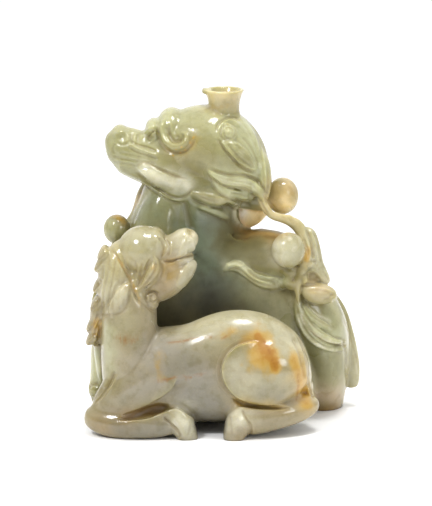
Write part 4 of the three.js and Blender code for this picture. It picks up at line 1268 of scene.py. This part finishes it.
SPRAY_DABS = [
    # Painted shade: the hollow under the cub's belly, between its hooves, is painted nearly black.
    ("painted shade black", 0.9, 3.4, [(200, 427), (210, 429), (219, 427)]),
    ("tan", 0.8, 3, [(125, 417), (145, 410), (160, 408)]),
    ("brown", 0.4, 2, [(130, 416), (145, 411), (158, 408)]),
    ("honey", 0.4, 2.2, [(240, 402), (262, 404), (280, 407)]),
    ("honey", 0.85, 6, [(285, 195)]),
    ("straw", 0.5, 6, [(285, 195)]),
    ("tan", 0.3, 6, [(285, 195)]),
    # Painted glow: the shaded lower side of the fruit above the gap is painted a bright honey, as if lit
    # from behind.
    ("honey with painted glow", 0.7, 3.2, [(275, 205), (285, 209)]),
    ("pink", 0.3, 2.4, [(286, 180), (294, 188)]),
    ("milk", 0.85, 5.6, [(288, 250)]),
    ("white", 0.6, 3.2, [(277, 250), (280, 260)]),
    ("straw", 0.3, 3, [(284, 265)]),
    ("pale green", 0.35, 4.6, [(112, 230)]),
    ("brown", 0.5, 2.2, [(118, 214), (124, 222)]),
    ("cream", 0.8, 2.4, [(264, 204), (275, 214), (290, 220), (300, 232), (307, 248), (305, 262)]),
    # Painted highlight: a thin bright line along the rim of the gap.
    ("milk", 0.8, 0.9, [(244, 204), (236, 209), (235, 216), (239, 223), (246, 227.5), (254, 229)]),
    ("honey", 0.45, 1.8, [(308, 249), (307, 258)]),
    ("milk", 0.85, 3, [(312, 238), (314, 254), (318, 268), (326, 277)]),
    ("straw", 0.6, 2.4, [(300, 272), (297, 285), (298, 300)]),
    ("olive", 0.5, 2.4, [(290, 275), (291, 284)]),
    ("olive", 0.7, 1.8, [(313, 277)]),
    ("cream", 0.65, 4.4, [(312, 289), (326, 291)]),
    ("pink", 0.4, 2.4, [(316, 288), (324, 290)]),
    ("straw", 0.4, 3, [(312, 299), (322, 300)]),
    ("olive", 0.5, 2.4, [(308, 306), (314, 312)]),
    ("pale green", 0.9, 2.6, [(215, 175), (235, 181), (252, 186)]),
    # Painted sheen: a pale grey along the top mane lock.
    ("milk", 0.35, 2, [(224, 181), (240, 184), (250, 190)]),
    ("pale green", 0.8, 2.2, [(222, 189), (240, 195), (252, 198)]),
    ("straw", 0.4, 2.2, [(203, 197), (215, 200), (224, 201)]),
    ("pale green", 0.5, 1.8, [(206, 208), (216, 211), (226, 216)]),
    ("pale green", 0.7, 2.2, [(230, 266), (240, 267), (250, 276), (266, 284)]),
    # Painted highlight on the head of the flank leaf.
    ("white", 0.2, 1.4, [(226, 266), (236, 264), (245, 269)]),
    ("straw", 0.4, 2, [(252, 277), (264, 283), (276, 285)]),
    ("pale green", 0.7, 1.6, [(262, 278), (275, 280), (284, 279)]),
    ("pale green", 0.6, 2.8, [(300, 315), (312, 335), (330, 346)]),
    ("pale green", 0.5, 2.4, [(308, 314), (322, 330), (338, 338)]),
    # Painted highlights: thin white lines along the ridges of the hanging leaves.
    ("white", 0.6, 0.7, [(299.5, 304), (302.5, 316), (309, 328.5), (319, 337.5), (331, 342), (345, 343)]),
    ("white", 0.5, 0.7, [(305, 302), (312, 310.5), (320, 316.5), (330, 321)]),
    ("white", 0.5, 0.7, [(297.5, 316), (302, 329), (311, 341), (323, 348), (336, 350)]),
    ("pink", 0.7, 2.6, [(141, 192), (137, 203)]),
]
BACK_DABS = [
    ("blue green", 0.5, 10, [
        (-16.0, 26.0, 46.0), (-8.0, 27.0, 36.0), (4.0, 27.0, 32.0), (10.0, 27.0, 22.0),
    ]),
    ("beige", 0.6, 9, [(18.0, 26.0, 15.0), (28.0, 22.0, 11.0)]),
    ("pale green", 0.6, 10, [(-28.0, 22.0, 22.0), (-32.0, 20.0, 10.0)]),
    ("pale green", 0.5, 8, [(0.0, 17.0, 84.0), (10.0, 14.0, 72.0)]),
    ("honey", 0.45, 4, [(12.0, 26.0, 39.0), (20.0, 26.0, 37.0)]),
    ("dark olive", 0.4, 6, [(-6.0, 20.0, 62.0), (4.0, 18.0, 60.0)]),
]
FACING_BACK, BELOW_HEAD = (0, 0.5), (44, 36)
GAP_SHINE, GAP_SHINE_RADIUS = [(242, 206), (242, 214)], 1.8
cub, wall = on_forms(cub_zone, CUB_REACH), on_forms(wall_zone, WALL_REACH)
tint("beige", 1.0, cub)
for colour, strength, radius, places in CUB_DABS:
    tint(colour, strength, cub * nearness(places, radius))
# Painted shade: below its head, the cub's side that faces the large one is painted dark olive.
cub_back_painted_shade = cub * soft_step(normals[:, 1], *FACING_BACK) * soft_step(dots[:, 2], *BELOW_HEAD)
tint("dark olive", 0.9, cub_back_painted_shade)
for colour, strength, radius, places in SPRAY_DABS + BACK_DABS:
    tint(colour, strength, nearness(places, radius))
# The gap's wall is honey-coloured stone, painted far brighter as a painted glow of light through it; the
# white spot on its left is a painted highlight.
tint("honey with painted glow", 0.95, wall)
tint("painted highlight white", 0.95, wall * nearness(GAP_SHINE, GAP_SHINE_RADIUS))
print("points on the cub:", int((cub > 0.5).sum()), "on the gap's wall:", int((wall > 0.5).sum()))

# %% [markdown]
# Iron has stained the stone along its cracks. The deepest russet is on the cub's haunch, and thin
# veins run along its flank. A stain is kept as a number for each point. The material gives it a
# ragged edge later, as a real stain has.

# %% Stain it with iron
IRON = [
    (0.78, 5.2, [(258, 340), (261, 350), (265, 358)]),
    (1.15, 2.2, [(258, 337), (263, 346), (270, 355), (274, 366)]),
    (0.45, 4.8, [(253, 347), (261, 366), (274, 364)]),
    (0.75, 2.6, [(294, 358), (298, 370), (303, 388), (306, 404)]),
    (0.5, 1.2, [(241, 364)]),
    (0.4, 2.2, [(160, 352), (158, 366), (160, 378)]),
    (0.4, 2.6, [(220, 338), (232, 330)]),
    (0.3, 3, [(258, 208), (262, 214)]),
    (0.45, 0.9, [(116, 256), (123, 267), (130, 278), (136, 291), (140, 303)]),
    (0.4, 1.4, [(154, 266), (154, 270)]),
    (0.5, 2.2, [(116, 214), (124, 222)]),
    (0.33, 2.8, [(168, 150), (178, 153), (190, 147), (194, 139)]),
    (0.6, 1.6, [(308, 249), (307, 258)]),
    (0.5, 2, [(97, 322), (97, 334)]),
    (0.3, 1.8, [(213, 108), (232, 109.5)]),
    (0.5, 3.2, [(20.0, 28.0, 28.0), (23.0, 28.0, 22.0), (22.0, 27.0, 15.0), (27.0, 25.0, 10.0)]),
    (0.45, 2.2, [(-19.0, 26.0, 35.0), (-22.0, 27.0, 29.0), (-18.0, 27.0, 23.0)]),
]
BROW_SPECKS = [(176, 150), (181, 147), (185, 150), (173, 155), (190, 143), (180, 153), (193, 137)]
SPECK_RADIUS, SPECK_STRENGTH = 0.45, 0.8
for strength, radius, places in IRON:
    rust = np.maximum(rust, strength * nearness(places, radius))
for place in BROW_SPECKS:
    rust = np.maximum(rust, SPECK_STRENGTH * nearness([place], SPECK_RADIUS))
VEINS = [
    [(163, 343), (178, 342), (192, 339), (208, 337), (222, 339), (232, 331)],
    [(150, 383), (165, 380), (178, 377), (192, 377), (206, 372)],
    [(262, 338), (269, 350), (273, 362), (278, 372)],
    [(268, 340), (275, 352), (280, 368)],
    [(298, 372), (298, 388), (296, 404)],
    [(112, 335), (128, 341), (140, 337)],
]
VEIN_REACH, VEIN_WIDTH = 2, 0.3
vein = np.zeros(len(dots))
for pixels in VEINS:
    held, off, _, share = beside(near_spots, np.array(pixels, float), VEIN_REACH)
    line = bell(off, VEIN_WIDTH) * tapered(share)
    vein[near[held]] = np.maximum(vein[near[held]], line)
print("points stained:", int((rust > 0.5).sum()), "in veins:", int((vein > 0.5).sum()))

# %% [markdown]
# Dirt and old wax stay in the hollows, and stay yellow-brown there after a cleaning. How hollow each
# point is comes from the mesh: the middle of its neighbours lies outside the surface in a hollow, and
# inside it on a ridge. The cut lines are added to that.

# %% Find the hollows
edges = np.empty(len(stone.data.edges) * 2, np.int32)
stone.data.edges.foreach_get("vertices", edges)
edges = edges.reshape(-1, 2)


def over_neighbours(values):
    """The mean of each point's neighbours."""
    total, count = np.zeros(len(values)), np.zeros(len(values))
    for a, b in (edges.T, edges.T[::-1]):
        total += np.bincount(a, values[b], len(values))
        count += np.bincount(a, minlength=len(values))
    return total / np.maximum(count, 1)


ROUNDS = 3
HOLLOW_FULL, HOLLOW_SHARE = 0.16, 0.8
GROOVE_FULL, GROOVE_SHARE = 0.5, 0.7
smoothed = dots
for _ in range(ROUNDS):
    smoothed = np.column_stack([over_neighbours(column) for column in smoothed.T])
hollow = ((smoothed - dots) * normals).sum(axis=1)
for _ in range(ROUNDS):
    hollow = over_neighbours(hollow)
in_hollow = np.clip(hollow / HOLLOW_FULL, 0, 1) * HOLLOW_SHARE
in_groove = np.clip(groove / GROOVE_FULL, 0, 1) * GROOVE_SHARE
crease = np.clip(in_hollow + in_groove, 0, 1)
print("points in hollows:", int((crease > 0.5).sum()), "of", len(dots))


def keep(name, values):
    """Stores one number for each point on the mesh."""
    layer = stone.data.attributes.new(name, "FLOAT", "POINT")
    layer.data.foreach_set("value", np.asarray(values, np.float32))


keep("rust", rust)
keep("crease", crease)
keep("vein", vein)
keep("dull", dull)
colours = stone.data.color_attributes.new("stone_colour", "FLOAT_COLOR", "POINT")
colours.data.foreach_set("color", np.column_stack([paint, np.ones(len(dots))]).astype(np.float32).ravel())

# %% [markdown]
# The stone comes to metres, in the frame of the model, and stands in for the model's own solid.

# %% Set the stone in the frame
move_points(stone, (points_of(stone) - LAYOUT_MIDDLE) * MM)
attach(stone, "root")
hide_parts("jade_carving")
print("stone, metres:", np.ptp(points_of(stone), axis=0).round(4))

# %% [markdown]
# Polished nephrite is glossy and slightly translucent. The painted colour is broken up by cloudy
# noise at two scales, stained with russet through a ragged noise edge, and darkened in the hollows.
# Light enters a little way, which the subsurface settings give, and a very fine bump keeps the gloss
# from looking like glass.

# %% The jade
jade = bpy.data.materials.new("Pale jade")
jade.use_nodes = True
nodes, links = jade.node_tree.nodes, jade.node_tree.links
shader = nodes["Principled BSDF"]


def add(kind, **values):
    """A node with its settings, and its inputs by name."""
    node = nodes.new(kind)
    for key, value in values.items():
        if key in node.inputs:
            node.inputs[key].default_value = value
        else:
            setattr(node, key, value)
    return node


def attribute(name):
    return add("ShaderNodeAttribute", attribute_name=name).outputs


def noise(scale, detail, roughness=0.55, distortion=0.0):
    node = add("ShaderNodeTexNoise", Scale=scale, Detail=detail, Roughness=roughness, Distortion=distortion)
    links.new(place_on_stone, node.inputs["Vector"])
    return node.outputs["Fac"]


def reckon(operation, a, b, limit=False):
    node = add("ShaderNodeMath", operation=operation, use_clamp=limit)
    for socket, value in zip(node.inputs, (a, b)):
        if isinstance(value, (int, float)):
            socket.default_value = value
        else:
            links.new(value, socket)
    return node.outputs[0]


def between(value, low, high):
    """Brings a value from low..high to 0..1 with soft ends."""
    node = add("ShaderNodeMapRange", interpolation_type="SMOOTHSTEP")
    links.new(value, node.inputs["Value"])
    node.inputs["From Min"].default_value = low
    node.inputs["From Max"].default_value = high
    return node.outputs["Result"]


def mix(share, under, over, blend="MIX"):
    node = add("ShaderNodeMix", data_type="RGBA", blend_type=blend)
    for socket, value in zip((node.inputs[0], node.inputs[6], node.inputs[7]), (share, under, over)):
        if isinstance(value, (int, float)):
            socket.default_value = value
        elif isinstance(value, tuple):
            socket.default_value = (*value, 1)
        else:
            links.new(value, socket)
    return node.outputs[2]


place_on_stone = add("ShaderNodeTexCoord").outputs["Object"]
clouds = noise(70, 3, distortion=0.6)
mottle = noise(330, 4)
grain_noise = noise(2400, 3)
colour = attribute("stone_colour")["Color"]
colour = mix(between(clouds, 0.35, 0.7), colour, mix(1.0, colour, (1.16, 1.15, 1.2), "MULTIPLY"))
colour = mix(between(mottle, 0.42, 0.75), colour, mix(1.0, colour, (0.82, 0.8, 0.7), "MULTIPLY"))
colour = mix(between(grain_noise, 0.45, 0.8), colour, mix(1.0, colour, (1.12, 1.1, 1.06), "MULTIPLY"))

rust_edge = reckon("MULTIPLY", reckon("SUBTRACT", mottle, 0.5), 0.6)
rust_share = reckon("ADD", attribute("rust")["Fac"], rust_edge)
colour = mix(reckon("MULTIPLY", between(rust_share, 0.2, 0.7), 0.7), colour, (0.51, 0.31, 0.05))
colour = mix(reckon("MULTIPLY", between(rust_share, 0.6, 1.0), 0.75), colour, (0.35, 0.15, 0.013))
vein_share = reckon("MULTIPLY", attribute("vein")["Fac"], between(mottle, 0.3, 0.6))
colour = mix(reckon("MULTIPLY", vein_share, 0.7), colour, (0.27, 0.11, 0.02))
crease_share = attribute("crease")["Fac"]
colour = mix(reckon("MULTIPLY", crease_share, 0.5), colour, mix(1.0, colour, (0.7, 0.52, 0.2), "MULTIPLY"))
links.new(colour, shader.inputs["Base Color"])

gloss = reckon("ADD", reckon("MULTIPLY", mottle, 0.09), 0.08)
gloss = reckon("ADD", gloss, reckon("MULTIPLY", crease_share, 0.25))
gloss = reckon("ADD", gloss, reckon("MULTIPLY", attribute("dull")["Fac"], 0.4), limit=True)
links.new(gloss, shader.inputs["Roughness"])
shader.inputs["IOR"].default_value = 1.55
shader.inputs["Subsurface Weight"].default_value = 0.6
shader.inputs["Subsurface Radius"].default_value = (1.0, 0.9, 0.5)
shader.inputs["Subsurface Scale"].default_value = 0.003

waves = noise(420, 2)
bump = add("ShaderNodeBump", Strength=0.25, Distance=0.0002)
links.new(reckon("ADD", reckon("MULTIPLY", grain_noise, 0.25), waves), bump.inputs["Height"])
links.new(bump.outputs["Normal"], shader.inputs["Normal"])
stone.data.materials.append(jade)
print("jade:", len(nodes), "nodes")

# %% [markdown]
# A studio shows polished stone with large soft lamps, because the stone mirrors them. One lamp stands
# high at the left, one hangs overhead, and a weak one fills in from the right. The world is a dome,
# brightest overhead and towards the back and dim in front, so hollows that face the camera stay dark.

# %% Floor and light
bpy.ops.mesh.primitive_plane_add(size=12)
floor = bpy.context.object
floor.name = "Floor"
pale = bpy.data.materials.new("Pale floor")
pale.use_nodes = True
pale.node_tree.nodes["Principled BSDF"].inputs["Base Color"].default_value = (0.92, 0.92, 0.92, 1)
pale.node_tree.nodes["Principled BSDF"].inputs["Roughness"].default_value = 0.9
pale.node_tree.nodes["Principled BSDF"].inputs["Specular IOR Level"].default_value = 0.1
floor.data.materials.append(pale)

DIM_FRONT, BRIGHT_TOP = 0.12, 1.36
BRIGHTEST = (0, 0.5, 0.866)
world = bpy.data.worlds.new("Studio")
bpy.context.scene.world = world
world.use_nodes = True
sky = world.node_tree.nodes
heading = sky.new("ShaderNodeTexCoord")
leaning = sky.new("ShaderNodeVectorMath")
leaning.operation = "DOT_PRODUCT"
leaning.inputs[1].default_value = BRIGHTEST
fade = sky.new("ShaderNodeMapRange")
fade.inputs["From Min"].default_value = -0.1
fade.inputs["From Max"].default_value = 0.7
fade.inputs["To Min"].default_value = DIM_FRONT
fade.inputs["To Max"].default_value = BRIGHT_TOP
world.node_tree.links.new(heading.outputs["Generated"], leaning.inputs[0])
world.node_tree.links.new(leaning.outputs["Value"], fade.inputs["Value"])
world.node_tree.links.new(fade.outputs["Result"], sky["Background"].inputs["Strength"])
sky["Background"].inputs["Color"].default_value = (1, 1, 1, 1)


def softbox(name, place, size, power):
    bpy.ops.object.light_add(type="AREA", location=place)
    lamp = bpy.context.object
    lamp.name = name
    lamp.data.size = size
    lamp.data.energy = power
    lamp.rotation_euler = (Vector((0, 0, 0.05)) - Vector(place)).to_track_quat("-Z", "Y").to_euler()


softbox("Key", (-0.3, -0.3, 0.5), 0.12, 2.1)
softbox("Top", (0.08, -0.05, 0.6), 0.14, 1.6)
softbox("Fill", (0.5, -0.5, 0.3), 0.2, 0.9)
bpy.context.scene.view_settings.view_transform = "Standard"
